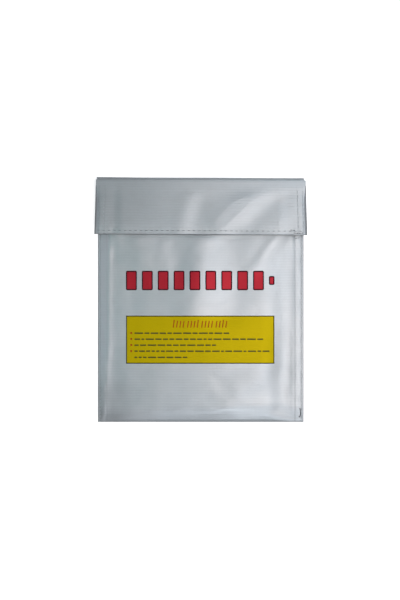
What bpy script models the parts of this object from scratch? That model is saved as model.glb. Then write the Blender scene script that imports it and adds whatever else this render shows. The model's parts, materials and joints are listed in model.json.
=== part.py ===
# Flat fire-resistant charging sack for a battery pack: coated glass-fibre cloth, folded over at the
# bottom, stitched down both sides, with a fold-over flap that closes on hook and loop tape.
# The sack lies on its back: X across its width, +Y towards the fold of the flap, +Z out of the
# printed front. The origin is under the middle of the sack, on the surface it lies on.
import bpy
import bmesh
import math
from mathutils import Vector

MM = 0.001

# ---- driving dimensions (mm) --------------------------------------------------------------------
BODY_W = 182.6            # across the two side seams
LENGTH = 216.9            # bottom fold to flap fold
FLAP_W_FOLD = 184.7       # flap width where it leaves the fold
FLAP_W_EDGE = 188.0       # flap width at its free edge
FLAP_LEN = 50.7           # fold to free edge
CLOTH = 0.6               # coated glass cloth, with its binding coat
LINER = 0.4               # plain glass cloth lining
GAP = 0.25                # air left between two layers that touch
FOLD_R = 6.0              # outer radius of the top fold
SEAM_W = 8.4              # flat strip along each side seam
SEAM_Z = 3.4              # top of the flat strip
POCKET_Z = 7.9            # front panel's outer face under the flap
BELLY_Z = 9.8             # front panel's outer face at its fullest
SHOULDER = 14.0           # run of the rounded shoulder inside each seam
BOTTOM_RUN = 15.0         # run of the rounded shoulder above the bottom fold
MOUTH_INSET = 16.5        # mouth edge below the top of the fold
TAPE_HALF = 72.0          # half length of both tapes
TAPE_W = 20.0             # width of both tapes
SELVEDGE = 1.8            # bare margin of a tape, where it is stitched
TAPE_BASE = 0.5           # woven base of a tape
TAPE_LOW = 64.6           # lower edge of both tapes, along Y
STITCH_SIDE = 3.4         # stitch pitch of the side seams
STITCH_FLAP = 4.0         # stitch pitch of the flap hems and tapes
THREAD = 0.5              # thread width at mid stitch
HEM = 8.4                 # width of the flap's turned-in edges
DROOP = 3.2               # how far the flap's side edges turn down
GAUGE = (131.7, 17.3, 8.55)      # printed gauge: width, height, lower edge along Y
NOTICE = (131.5, 42.6, -56.55)   # printed notice: width, height, lower edge along Y
PRINT_T = 0.12            # thickness of a printed film

XB = BODY_W / 2
YB = -LENGTH / 2
YT = LENGTH / 2
T = YT - FOLD_R
CREASE = XB - SEAM_W
MOUTH = YT - MOUTH_INSET
FREE = YT - FLAP_LEN
HINGE_Y = T + 1.1 * FOLD_R
HINGE_Z = FOLD_R + 0.15

for ob in list(bpy.data.objects):
    bpy.data.objects.remove(ob, do_unlink=True)
for me in list(bpy.data.meshes):
    bpy.data.meshes.remove(me)


# ---- materials ----------------------------------------------------------------------------------
def material(name, colour, rough, metal=0.0):
    m = bpy.data.materials.new(name)
    m.use_nodes = True
    p = m.node_tree.nodes["Principled BSDF"]
    p.inputs["Base Color"].default_value = (*colour, 1.0)
    p.inputs["Roughness"].default_value = rough
    p.inputs["Metallic"].default_value = metal
    m.diffuse_color = (*colour, 1.0)
    return m


SILVER = material("coated_glass_cloth", (0.46, 0.50, 0.53), 0.42, 0.55)
LINING = material("glass_cloth_lining", (0.70, 0.68, 0.60), 0.85)
HOOK = material("hook_tape_nylon", (0.035, 0.035, 0.04), 0.6)
LOOP = material("loop_tape_nylon", (0.045, 0.045, 0.05), 0.95)
THREAD_M = material("sewing_thread", (0.10, 0.11, 0.12), 0.6)
RED = material("print_film_red", (0.42, 0.02, 0.03), 0.4)
YELLOW = material("print_film_yellow", (0.55, 0.42, 0.02), 0.45)


# ---- helpers ------------------------------------------------------------------------------------
def finish(name, verts, faces, mat, smooth=False):
    me = bpy.data.meshes.new(name)
    me.from_pydata([Vector(v) * MM for v in verts], [], faces)
    bm = bmesh.new()
    bm.from_mesh(me)
    bmesh.ops.recalc_face_normals(bm, faces=bm.faces)
    bm.to_mesh(me)
    bm.free()
    me.validate()
    me.materials.append(mat)
    for p in me.polygons:
        p.use_smooth = smooth
    ob = bpy.data.objects.new(name, me)
    bpy.context.scene.collection.objects.link(ob)
    return ob


def box(name, lo, hi, mat):
    v = [(x, y, z) for z in (lo[2], hi[2]) for y in (lo[1], hi[1]) for x in (lo[0], hi[0])]
    f = [(0, 2, 3, 1), (4, 5, 7, 6), (0, 1, 5, 4), (2, 6, 7, 3), (0, 4, 6, 2), (1, 3, 7, 5)]
    return finish(name, v, f, mat)


def normals(grid):
    """Unit normals of a grid of points, facing the way that +X cross +row direction gives."""
    n, m = len(grid), len(grid[0])
    out = []
    for i in range(n):
        row = []
        for j in range(m):
            here = Vector(grid[i][j])
            total = Vector((0, 0, 0))
            for di, dj in ((1, 1), (1, -1), (-1, 1), (-1, -1)):
                a, b = i + di, j + dj
                if 0 <= a < n and 0 <= b < m:
                    u = (Vector(grid[a][j]) - here) * di
                    w = (Vector(grid[i][b]) - here) * dj
                    c = u.cross(w)
                    if c.length > 0:
                        total += c.normalized()
            row.append(total.normalized())
        out.append(row)
    return out


def offset(grid, by):
    """The grid moved along its normals; a bend keeps the distance by lengthening the step."""
    nn = normals(grid)
    return [[tuple(Vector(grid[i][j]) - nn[i][j] * by) for j in range(len(grid[0]))]
            for i in range(len(grid))]


def shell(name, top, under, mat, smooth=True):
    """A closed sheet between two grids of the same shape."""
    n, m = len(top), len(top[0])
    verts = [p for row in top for p in row] + [p for row in under for p in row]
    k = n * m

    def a(i, j):
        return i * m + j

    faces = []
    for i in range(n - 1):
        for j in range(m - 1):
            faces.append((a(i, j), a(i + 1, j), a(i + 1, j + 1), a(i, j + 1)))
            faces.append((k + a(i, j), k + a(i, j + 1), k + a(i + 1, j + 1), k + a(i + 1, j)))
    for i in range(n - 1):
        for j in (0, m - 1):
            faces.append((a(i, j), a(i + 1, j), k + a(i + 1, j), k + a(i, j)))
    for j in range(m - 1):
        for i in (0, n - 1):
            faces.append((a(i, j), a(i, j + 1), k + a(i, j + 1), k + a(i, j)))
    return finish(name, verts, faces, mat, smooth)


def prism(name, outline, x0, x1, mat):
    """A closed outline in the Y-Z plane, carried along X."""
    n = len(outline)
    verts = [(x0, y, z) for y, z in outline] + [(x1, y, z) for y, z in outline]
    faces = [(i, (i + 1) % n, n + (i + 1) % n, n + i) for i in range(n)]
    faces.append(tuple(range(n)))
    faces.append(tuple(range(2 * n - 1, n - 1, -1)))
    return finish(name, verts, faces, mat)


def bead(name, path, up, mat, width=THREAD, height=0.34):
    """A three-sided cord on a path of points; every other point is a needle hole, where it is thin."""
    rings = []
    for i, p in enumerate(path):
        p = Vector(p)
        a = Vector(path[max(i - 1, 0)])
        b = Vector(path[min(i + 1, len(path) - 1)])
        along = (b - a).normalized()
        u = Vector(up[i] if isinstance(up, list) else up).normalized()
        side = along.cross(u).normalized()
        s = 0.45 if i % 2 == 0 else 1.0
        rings.append([p - side * width / 2 * s, p + side * width / 2 * s, p + u * height * s])
    verts = [tuple(v) for r in rings for v in r]
    faces = []
    for i in range(len(rings) - 1):
        for j in range(3):
            k = (j + 1) % 3
            faces.append((3 * i + j, 3 * i + k, 3 * i + 3 + k, 3 * i + 3 + j))
    e = 3 * (len(rings) - 1)
    faces.append((0, 2, 1))
    faces.append((e, e + 1, e + 2))
    return finish(name, verts, faces, mat)


def steps(a, b, pitch):
    """Points half a stitch apart from a to b, an odd number of them."""
    n = 2 * max(1, round(abs(b - a) / pitch))
    return [a + (b - a) * i / n for i in range(n + 1)]


# ---- shape of the front panel -------------------------------------------------------------------
def side_rise(x):
    """0 on the flat seam strip, 1 inside the shoulder."""
    t = min(max((CREASE - abs(x)) / SHOULDER, 0.0), 1.0)
    return 1.0 - (1.0 - t) ** 2.2


def full(x, y):
    """Height of the front panel away from its shoulders: flat under the flap, domed below it."""
    t = min(max((FREE + 1.0 - y) / 24.0, 0.0), 1.0)
    t = t * t * (3 - 2 * t)
    dome = BELLY_Z - 0.9 * (x / CREASE) ** 2 - 0.5 * ((y + 25.0) / 80.0) ** 2
    return POCKET_Z + (dome - POCKET_Z) * t


def front_z(x, y):
    return SEAM_Z + (full(x, y) - SEAM_Z) * side_rise(x)


def front_profile(x):
    """The front cloth at one X: round the bottom fold from the underside, then up to the mouth."""
    s = side_rise(x)
    r = SEAM_Z / 2 + 1.6 * s
    run = SEAM_Z / 2 + (BOTTOM_RUN - SEAM_Z / 2) * s
    pts = [(YB + 8.0, 0.0)]
    for k in range(4):
        a = math.radians(90.0 * k / 3)
        pts.append((YB + r - r * math.sin(a), r - r * math.cos(a)))
    y_end = YB + run
    z_end = front_z(x, YB + BOTTOM_RUN)
    for k in range(1, 6):
        a = math.radians(90.0 * k / 5)
        y = YB + run * (1 - math.cos(a))
        pts.append((y, r + (z_end - r) * math.sin(a)))
    levels = [YB + BOTTOM_RUN + d for d in (3.0, 15.0, 32.0, 50.0, 68.0, 86.0, 103.0, 118.0)]
    levels += [FREE - 22.0, FREE - 17.0, FREE - 12.0, FREE - 7.0, FREE - 2.0, FREE + 1.0]
    levels += [(FREE + MOUTH) / 2, MOUTH]
    levels = sorted(set(levels))
    for y in levels:
        if y > y_end + 0.5:
            pts.append((y, front_z(x, y)))
    return pts


shoulder_t = (0.0, 0.1, 0.22, 0.38, 0.58, 0.8, 1.0)
right_x = [CREASE - SHOULDER * t for t in shoulder_t]
columns = [-XB] + [-x for x in right_x] + [-46.0, -23.0, 0.0, 23.0, 46.0] + right_x[::-1] + [XB]
profiles = [front_profile(x) for x in columns]
rows = min(len(p) for p in profiles)
assert rows == max(len(p) for p in profiles)
front_grid = [[(x, y, z) for y, z in p] for x, p in zip(columns, profiles)]
front_under = offset(front_grid, CLOTH)
for i, row in enumerate(front_under):          # side edges stay plumb, and the tail stays flat
    for j in range(len(row)):
        x, y, z = row[j]
        if i in (0, len(front_under) - 1):
            x = columns[i]
        if j == 0:
            y, z = YB + 8.0, CLOTH
        if j == len(row) - 1:
            y = MOUTH
        row[j] = (x, y, z)
front_panel = shell("front_panel", front_grid, front_under, SILVER)

# ---- back panel: flat, its top edge curling up as the lower half of the fold ----------------------
back_cols = [-XB, -46.0, 0.0, 46.0, XB]
back_line = [(YB + 8.3, 0.0), (-40.0, 0.0), (30.0, 0.0), (T, 0.0)]
for k in range(1, 9):
    a = math.radians(90.0 * k / 8)
    back_line.append((T + FOLD_R * math.sin(a), FOLD_R - FOLD_R * math.cos(a)))
back_in = [(y, CLOTH) for y, z in back_line[:4]]
for k in range(1, 9):
    a = math.radians(90.0 * k / 8)
    q = FOLD_R - CLOTH
    back_in.append((T + q * math.sin(a), FOLD_R - q * math.cos(a)))
back_panel = shell("back_panel",
                   [[(x, y, z) for y, z in back_line] for x in back_cols],
                   [[(x, y, z) for y, z in back_in] for x in back_cols], SILVER)

# ---- linings --------------------------------------------------------------------------------------
box("back_liner", (-CREASE + 0.6, YB + 9.0, CLOTH + GAP), (CREASE - 0.6, T - 1.0, CLOTH + GAP + LINER),
    LINING)

inner_cols = [c for c in range(len(columns)) if abs(columns[c]) < CREASE - 0.1]
lin_lo, lin_hi = 7, rows - 2


def line_at(grid, c, y_cut):
    """Where column c of a grid crosses y_cut."""
    for j in range(len(grid[c]) - 1, 0, -1):
        a, b = grid[c][j - 1], grid[c][j]
        if a[1] <= y_cut <= b[1]:
            f = (y_cut - a[1]) / (b[1] - a[1])
            return tuple(a[k] + (b[k] - a[k]) * f for k in range(3))
    return grid[c][-1]


LINER_TOP = MOUTH - 10.3
skin = offset(front_grid, CLOTH + GAP)
liner_top = []
for c in inner_cols:
    row = [p for p in skin[c][lin_lo:] if p[1] < LINER_TOP - 1.0]
    row.append(line_at(skin, c, LINER_TOP))
    liner_top.append(row)
short = min(len(r) for r in liner_top)
assert short == max(len(r) for r in liner_top)
liner_under = offset(liner_top, LINER)
for row in liner_under:
    x, y, z = row[-1]
    row[-1] = (x, LINER_TOP, z)
shell("front_liner", liner_top, liner_under, LINING)

# ---- side seams: the turned-in edges of both panels, between them -------------------------------
for name, sx in (("left_seam_allowance", -1), ("right_seam_allowance", 1)):
    xs = sorted((sx * (CREASE + 0.5), sx * (XB - 0.2)))
    box(name, (xs[0], YB + 8.6, CLOTH + GAP), (xs[1], MOUTH - 0.4, SEAM_Z - CLOTH - GAP), SILVER)

# ---- hem of the mouth ----------------------------------------------------------------------------
mouth_half = CREASE - SHOULDER - 0.5
box("mouth_hem", (-mouth_half, MOUTH - 10.0, POCKET_Z - CLOTH - GAP - 0.45),
    (mouth_half, MOUTH - 0.2, POCKET_Z - CLOTH - GAP), SILVER)


# ---- hook and loop tapes ---------------------------------------------------------------------------
def tape(name, z_base, z_field, mat):
    """A woven base with bare margins and a raised field of hooks or loops, above or below it."""
    y0, y1 = TAPE_LOW, TAPE_LOW + TAPE_W
    up = 1.0 if z_field > z_base else -1.0
    zb = z_base + up * TAPE_BASE
    line = [(y0, z_base), (y1, z_base), (y1, zb), (y1 - SELVEDGE, zb), (y1 - SELVEDGE - 0.25, z_field),
            (y0 + SELVEDGE + 0.25, z_field), (y0 + SELVEDGE, zb), (y0, zb)]
    return prism(name, line, -TAPE_HALF, TAPE_HALF, mat)


HOOK_Z = POCKET_Z + GAP
LOOP_Z = 2 * FOLD_R - CLOTH - GAP
tape("hook_tape", HOOK_Z, HOOK_Z + 1.3, HOOK)
tape("loop_tape", LOOP_Z, HOOK_Z + 1.55, LOOP)

# ---- flap --------------------------------------------------------------------------------------------
flap_arc = []
ARC_STEPS = 8
a0 = math.asin(0.3 / FOLD_R)
for k in range(ARC_STEPS + 1):
    a = a0 + (math.pi / 2 - a0) * k / ARC_STEPS
    flap_arc.append((T + FOLD_R * math.cos(a), FOLD_R + FOLD_R * math.sin(a), a))


def flap_half(y):
    t = min(max((YT - y) / FLAP_LEN, 0.0), 1.0)
    return (FLAP_W_FOLD + (FLAP_W_EDGE - FLAP_W_FOLD) * t) / 2


def droop(u, y):
    """How far the flap is turned down at a distance u in from its side edge."""
    g = min(max((T - y) / 16.0, 0.0), 1.0)
    g = g * g * (3 - 2 * g)
    t = min(max(1.0 - u / 9.0, 0.0), 1.0)
    return -DROOP * g * t * t


IN_STEPS = (0.0, 1.5, 3.2, 5.2, 7.4, 9.0)


def flap_columns(y):
    h = flap_half(y)
    left = [(-h + u, u) for u in IN_STEPS]
    right = [(h - u, u) for u in reversed(IN_STEPS)]
    return left + [(-28.0, 60.0), (28.0, 60.0)] + right


FLAP_LEVELS = [T - 4.0, T - 8.0, T - 12.0, T - 16.0, (T - 16.0 + FREE) / 2, FREE]


def flap_grid(depth):
    """The flap's surface, depth below its outer face."""
    cols = len(flap_columns(0.0))
    grid = [[] for _ in range(cols)]
    for y, z, a in flap_arc:
        r = FOLD_R - depth
        for c, (x, u) in enumerate(flap_columns(y)):
            grid[c].append((x, T + r * math.cos(a), FOLD_R + r * math.sin(a)))
    for y in FLAP_LEVELS:
        for c, (x, u) in enumerate(flap_columns(y)):
            grid[c].append((x, y, 2 * FOLD_R - depth + droop(u, y)))
    return grid


shell("flap_panel", flap_grid(0.0), flap_grid(CLOTH), SILVER)


def flap_strip(name, x_of, u_of, levels, mat, lo, hi):
    """A strip under the flap that follows its turned-down side."""
    top, low = [], []
    for k in range(len(u_of)):
        top.append([(x_of(y, u_of[k]), y, 2 * FOLD_R - lo + droop(u_of[k], y)) for y in levels])
        low.append([(x_of(y, u_of[k]), y, 2 * FOLD_R - hi + droop(u_of[k], y)) for y in levels])
    return shell(name, top, low, mat)


side_u = (0.4, 1.5, 3.2, 5.2, 7.4, HEM)
side_levels = [FREE + 0.3, (T - 16.0 + FREE) / 2, T - 16.0, T - 12.0, T - 8.0, T - 4.0, T - 1.0]
flap_strip("flap_left_hem", lambda y, u: -flap_half(y) + u, side_u, side_levels, SILVER,
           CLOTH + 0.32, CLOTH + 0.32 + 0.45)
flap_strip("flap_right_hem", lambda y, u: flap_half(y) - u, side_u, side_levels, SILVER,
           CLOTH + 0.32, CLOTH + 0.32 + 0.45)
hem_half = FLAP_W_EDGE / 2 - HEM - 1.2
box("flap_bottom_hem", (-hem_half, FREE + 0.3, 2 * FOLD_R - CLOTH - GAP - 0.45),
    (hem_half, TAPE_LOW - 0.6, 2 * FOLD_R - CLOTH - GAP), SILVER)

# ---- sewing threads ---------------------------------------------------------------------------------
UP = (0.0, 0.0, 1.0)
DOWN = (0.0, 0.0, -1.0)
LIFT = 0.12
for name, sx in (("left_seam_thread", -1), ("right_seam_thread", 1)):
    ys = steps(YB + 3.2, MOUTH - 1.5, STITCH_SIDE)
    bead(name, [(sx * (XB - 2.1), y, SEAM_Z + LIFT) for y in ys], UP, THREAD_M)

z_sel = HOOK_Z + TAPE_BASE + LIFT
for name, y in (("hook_tape_lower_thread", TAPE_LOW + 0.9),
                ("hook_tape_upper_thread", TAPE_LOW + TAPE_W - 0.9)):
    bead(name, [(x, y, z_sel) for x in steps(-TAPE_HALF + 1, TAPE_HALF - 1, STITCH_FLAP)], UP, THREAD_M)
z_sel = LOOP_Z - TAPE_BASE - LIFT
for name, y in (("loop_tape_lower_thread", TAPE_LOW + 0.9),
                ("loop_tape_upper_thread", TAPE_LOW + TAPE_W - 0.9)):
    bead(name, [(x, y, z_sel) for x in steps(-TAPE_HALF + 1, TAPE_HALF - 1, STITCH_FLAP)], DOWN, THREAD_M)
bead("mouth_hem_thread",
     [(x, MOUTH - 3.0, POCKET_Z + LIFT) for x in steps(-mouth_half + 1, mouth_half - 1, STITCH_FLAP)],
     UP, THREAD_M)


def on_flap(x, y):
    """A point on the flap's outer face, lifted clear of it, and which way is out of it there."""
    u = flap_half(y) - abs(x)
    z = 2 * FOLD_R + droop(u, y)
    e = 0.2
    slope_x = (droop(flap_half(y) - abs(x + e), y) - droop(flap_half(y) - abs(x - e), y)) / (2 * e)
    slope_y = (droop(flap_half(y + e) - abs(x), y + e) - droop(flap_half(y - e) - abs(x), y - e)) / (2 * e)
    n = Vector((-slope_x, -slope_y, 1.0)).normalized()
    p = Vector((x, y, z)) + n * (LIFT + 0.1)
    return tuple(p), tuple(n)


def flap_row(name, points):
    both = [on_flap(x, y) for x, y in points]
    return bead(name, [b[0] for b in both], [b[1] for b in both], THREAD_M)


side_y = steps(FREE + 5.6, T - 2.0, STITCH_FLAP)
for side, sx in (("left", -1), ("right", 1)):
    flap_row("flap_%s_outer_thread" % side, [(sx * (flap_half(y) - 3.2), y) for y in side_y])
    flap_row("flap_%s_inner_thread" % side, [(sx * (flap_half(y) - 7.8), y) for y in side_y])
flap_row("flap_bottom_thread",
         [(x, FREE + 4.1) for x in steps(-flap_half(FREE) + 1.6, flap_half(FREE) - 1.6, STITCH_FLAP)])

# ---- back-tacks, where a row was sewn over twice to lock it ----------------------------------------
flap_row("flap_corner_backtack",
         [(x, FREE + 1.6 + (0.5 if i % 2 else 0.0)) for i, x in enumerate(steps(82.0, 92.0, 2.5))])
bead("right_mouth_backtack",
     [(x, FREE - 3.0 + (0.5 if i % 2 else 0.0), SEAM_Z + LIFT) for i, x in enumerate(steps(83.6, 88.2, 2.0))],
     UP, THREAD_M)
tail = []
for k in range(9):
    a = math.radians(65.0 + 230.0 * k / 8)
    tail.append((87.0 + 1.3 * math.cos(a), YB + 10.4 + 4.0 * math.sin(a), SEAM_Z + LIFT))
bead("corner_thread_tail", tail, UP, THREAD_M, 0.4, 0.3)


# ---- printed films -----------------------------------------------------------------------------------
def film(name, w, h, y0, mat, nx, ny):
    xs = [-0.5 - w / 2 + w * i / nx for i in range(nx + 1)]
    ys = [y0 + h * j / ny for j in range(ny + 1)]
    low = [[(x, y, front_z(x, y) + 0.12) for y in ys] for x in xs]
    top = [[(x, y, z + PRINT_T) for x, y, z in row] for row in low]
    return shell(name, top, low, mat)


film("gauge_print", GAUGE[0], GAUGE[1], GAUGE[2], RED, 12, 2)
film("notice_print", NOTICE[0], NOTICE[1], NOTICE[2], YELLOW, 12, 4)

# ---- hinge line of the flap: parent of everything that turns with it ------------------------------
pivot = bpy.data.objects.new("flap_hinge_axis", None)
pivot.location = (0.0, HINGE_Y * MM, HINGE_Z * MM)
pivot.empty_display_size = 0.02
bpy.context.scene.collection.objects.link(pivot)
bpy.context.view_layer.update()
for ob in list(bpy.data.objects):
    if ob.type == "MESH" and (ob.name.startswith("flap_") or ob.name.startswith("loop_")):
        ob.parent = pivot
        ob.matrix_parent_inverse = pivot.matrix_world.inverted()
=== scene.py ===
import json
import math
import bpy
import numpy as np
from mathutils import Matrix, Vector


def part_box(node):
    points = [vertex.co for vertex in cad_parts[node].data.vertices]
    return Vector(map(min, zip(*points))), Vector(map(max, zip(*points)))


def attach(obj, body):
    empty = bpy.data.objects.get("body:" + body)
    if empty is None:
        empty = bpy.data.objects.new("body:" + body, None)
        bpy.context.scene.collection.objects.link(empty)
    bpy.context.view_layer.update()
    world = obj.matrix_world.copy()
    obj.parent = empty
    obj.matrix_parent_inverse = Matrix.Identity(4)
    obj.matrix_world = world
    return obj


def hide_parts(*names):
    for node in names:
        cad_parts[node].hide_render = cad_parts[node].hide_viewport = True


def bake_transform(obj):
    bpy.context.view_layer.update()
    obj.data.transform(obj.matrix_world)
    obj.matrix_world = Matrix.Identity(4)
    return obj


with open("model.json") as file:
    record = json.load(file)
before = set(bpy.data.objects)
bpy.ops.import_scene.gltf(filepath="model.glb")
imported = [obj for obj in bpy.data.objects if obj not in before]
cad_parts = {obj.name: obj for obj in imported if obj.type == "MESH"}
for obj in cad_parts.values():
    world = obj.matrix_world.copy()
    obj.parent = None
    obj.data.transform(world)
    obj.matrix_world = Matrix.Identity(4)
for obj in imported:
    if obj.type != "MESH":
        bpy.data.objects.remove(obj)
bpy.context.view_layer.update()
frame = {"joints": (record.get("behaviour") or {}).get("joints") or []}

MM = 0.001
RNG = np.random.default_rng(7)


def lohi(node):
    lo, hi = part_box(node)
    return [c / MM for c in lo], [c / MM for c in hi]


# ---- places, all from the frame (mm) ----------------------------------------------------------------
FP_LO, FP_HI = lohi("front_panel")
BP_LO, BP_HI = lohi("back_panel")
FL_LO, FL_HI = lohi("flap_panel")
HT_LO, HT_HI = lohi("hook_tape")
LT_LO, LT_HI = lohi("loop_tape")
SA_LO, SA_HI = lohi("right_seam_allowance")
GP_LO, GP_HI = lohi("gauge_print")
NP_LO, NP_HI = lohi("notice_print")
MH_LO, MH_HI = lohi("mouth_hem")
BL_LO, BL_HI = lohi("back_liner")
FLN_LO, FLN_HI = lohi("front_liner")
SEAM_T_LO, SEAM_T_HI = lohi("right_seam_thread")

XB = FP_HI[0]                      # side edge of the body
YB = FP_LO[1]                      # bottom fold
MOUTH = FP_HI[1]
FREE = FL_LO[1]                    # free edge of the flap
YT = BP_HI[1]                      # top fold
R = BP_HI[2]                       # radius of the top fold
T = YT - R
ZF = 2 * R                         # outer face of the flap
CREASE = XB - 7.6
LIFT = 1.1                         # how far the sewn sides stand off the surface below
SEAM_Z = 3.4 + LIFT
POCKET_Z = HT_LO[2] - 0.25
BELLY_Z = 9.0
SHOULDER = 32.0
BOTTOM = 17.0
FOLD_Z = 1.72                      # middle of the bottom fold
EDGE_Z = FOLD_Z + LIFT             # height where front and back meet at the side edges
HALF_FOLD = 184.7 / 2 + 0.4
HALF_EDGE = FL_HI[0] + 0.3
HINGE = frame["joints"][0]["pos_m"] if frame["joints"] and "pos_m" in frame["joints"][0] else None


# ---- small numeric tools -------------------------------------------------------------------------------
def clip01(t):
    return np.clip(t, 0.0, 1.0)


def smooth(t):
    t = clip01(t)
    return t * t * (3 - 2 * t)


def smin(a, b, k):
    h = np.maximum(k - np.abs(a - b), 0.0) / k
    return np.minimum(a, b) - h * h * k * 0.25


def bspline(n_knots, u):
    """Matrix that reads a uniform cubic B-spline of n_knots values at positions u (0..n_knots-1)."""
    u = np.clip(np.asarray(u, float), 0, n_knots - 1 - 1e-9)
    i = np.floor(u).astype(int)
    f = u - i
    w = np.stack([(1 - f) ** 3, 3 * f ** 3 - 6 * f ** 2 + 4, -3 * f ** 3 + 3 * f ** 2 + 3 * f + 1, f ** 3], 1) / 6
    m = np.zeros((len(u), n_knots))
    for k in range(4):
        j = np.clip(i + k - 1, 0, n_knots - 1)
        np.add.at(m, (np.arange(len(u)), j), w[:, k])
    return m


class Noise:
    """Smooth random height over the plane, of unit size, with a chosen wavelength each way."""

    def __init__(self, seed, wx, wy, span=260.0):
        r = np.random.default_rng(seed)
        self.wx, self.wy, self.span = wx, wy, span
        self.g = r.uniform(-1, 1, (int(2 * span / wx) + 8, int(2 * span / wy) + 8))

    def __call__(self, x, y):
        x, y = np.broadcast_arrays(np.asarray(x, float), np.asarray(y, float))
        u = (x + self.span) / self.wx + 2
        v = (y + self.span) / self.wy + 2
        u = np.clip(u, 1, self.g.shape[0] - 3.001)
        v = np.clip(v, 1, self.g.shape[1] - 3.001)
        i, j = np.floor(u).astype(int), np.floor(v).astype(int)
        fu, fv = u - i, v - j

        def w(f):
            return [(1 - f) ** 3 / 6, (3 * f ** 3 - 6 * f ** 2 + 4) / 6,
                    (-3 * f ** 3 + 3 * f ** 2 + 3 * f + 1) / 6, f ** 3 / 6]
        wu, wv = w(fu), w(fv)
        out = np.zeros(x.shape)
        for a in range(4):
            for b in range(4):
                out += wu[a] * wv[b] * self.g[i + a - 1, j + b - 1]
        return out * 1.8


def ridge(x, y, p0, p1, w_left, w_right, h, fade=10.0):
    """A soft crease along a line, with a different slope on each of its sides."""
    x0, y0, x1, y1 = *p0, *p1
    length = math.hypot(x1 - x0, y1 - y0)
    ex, ey = (x1 - x0) / length, (y1 - y0) / length
    s = (x - x0) * ex + (y - y0) * ey
    d = (x - x0) * ey - (y - y0) * ex
    w = np.where(d < 0, w_left, w_right)
    ends = smooth((s + fade) / fade) * smooth((length + fade - s) / fade)
    return h * np.exp(-(d / w) ** 2) * ends


def bump(x, y, c, sx, sy, h, turn=0.0):
    dx, dy = x - c[0], y - c[1]
    a = math.radians(turn)
    u = dx * math.cos(a) + dy * math.sin(a)
    v = -dx * math.sin(a) + dy * math.cos(a)
    return h * np.exp(-(u / sx) ** 2 - (v / sy) ** 2)


# ---- meshes from grids ------------------------------------------------------------------------------------
def make(name, verts, quads, tris=None, smooth_shade=True):
    """A mesh object from arrays, in mm."""
    me = bpy.data.meshes.new(name)
    verts = np.asarray(verts, np.float64) * MM
    quads = np.asarray(quads, np.int32).reshape(-1, 4)
    tris = np.zeros((0, 3), np.int32) if tris is None else np.asarray(tris, np.int32).reshape(-1, 3)
    me.vertices.add(len(verts))
    me.vertices.foreach_set("co", verts.astype(np.float32).ravel())
    loops = np.concatenate([quads.ravel(), tris.ravel()])
    me.loops.add(len(loops))
    me.loops.foreach_set("vertex_index", loops)
    starts = np.concatenate([np.arange(len(quads)) * 4, len(quads) * 4 + np.arange(len(tris)) * 3])
    me.polygons.add(len(starts))
    me.polygons.foreach_set("loop_start", starts.astype(np.int32))
    me.update(calc_edges=True)
    me.validate()
    me.polygons.foreach_set("use_smooth", np.full(len(me.polygons), smooth_shade))
    ob = bpy.data.objects.new(name, me)
    bpy.context.scene.collection.objects.link(ob)
    return ob


def attribute(ob, name, values, kind="FLOAT"):
    values = np.asarray(values, np.float32)
    a = ob.data.attributes.new(name, kind, "POINT")
    a.data.foreach_set("value" if kind == "FLOAT" else "vector", values.ravel())


def grid_normals(p):
    du = np.empty_like(p)
    dv = np.empty_like(p)
    du[1:-1] = p[2:] - p[:-2]
    du[0], du[-1] = p[1] - p[0], p[-1] - p[-2]
    dv[:, 1:-1] = p[:, 2:] - p[:, :-2]
    dv[:, 0], dv[:, -1] = p[:, 1] - p[:, 0], p[:, -1] - p[:, -2]
    n = np.cross(du, dv)
    n /= np.maximum(np.linalg.norm(n, axis=2, keepdims=True), 1e-12)
    return n


def grid_quads(n, m, base=0, flip=False):
    i, j = np.meshgrid(np.arange(n - 1), np.arange(m - 1), indexing="ij")
    a = base + i * m + j
    q = np.stack([a, a + m, a + m + 1, a + 1], -1).reshape(-1, 4)
    return q[:, ::-1] if flip else q


def cloth_shell(name, outer, thick, cloth_xy, shade=None, inner=None, inner_shade=0.8):
    """A closed cloth between a grid of points and the same grid moved in by thick. cloth_xy is the
    cloth's own flat coordinate at each point, for its weave; shade darkens the outer face's colour as painted shade."""
    n, m = outer.shape[:2]
    nn = grid_normals(outer)
    if inner is None:
        inner = outer - nn * thick
    verts = np.concatenate([outer.reshape(-1, 3), inner.reshape(-1, 3)])
    k = n * m
    quads = [grid_quads(n, m), grid_quads(n, m, k, True)]
    i = np.arange(n - 1) * m
    j = np.arange(m - 1)
    quads.append(np.stack([i, k + i, k + i + m, i + m], 1))
    e = i + m - 1
    quads.append(np.stack([e, e + m, k + e + m, k + e], 1))
    quads.append(np.stack([j, j + 1, k + j + 1, k + j], 1))
    f = (n - 1) * m + j
    quads.append(np.stack([f, k + f, k + f + 1, f + 1], 1))
    ob = make(name, verts, np.concatenate(quads))
    ob.data.set_sharp_from_angle(angle=math.radians(48))
    xy = np.concatenate([cloth_xy.reshape(-1, 2), cloth_xy.reshape(-1, 2)])
    attribute(ob, "cloth", np.concatenate([xy * MM, np.zeros((len(xy), 1))], 1), "FLOAT_VECTOR")
    s = np.ones((n, m)) if shade is None else shade
    attribute(ob, "shade", np.concatenate([s.ravel(), np.full(k, inner_shade)]))
    return ob


def spacing(a, b, fine, coarse, edge):
    """Positions from a to b, fine within edge of both ends and coarse between."""
    n1 = max(2, round(edge / fine))
    mid = max(2, round((b - a - 2 * edge) / coarse))
    return np.concatenate([np.linspace(a, a + edge, n1, endpoint=False),
                           np.linspace(a + edge, b - edge, mid, endpoint=False),
                           np.linspace(b - edge, b, n1 + 1)])


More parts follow.
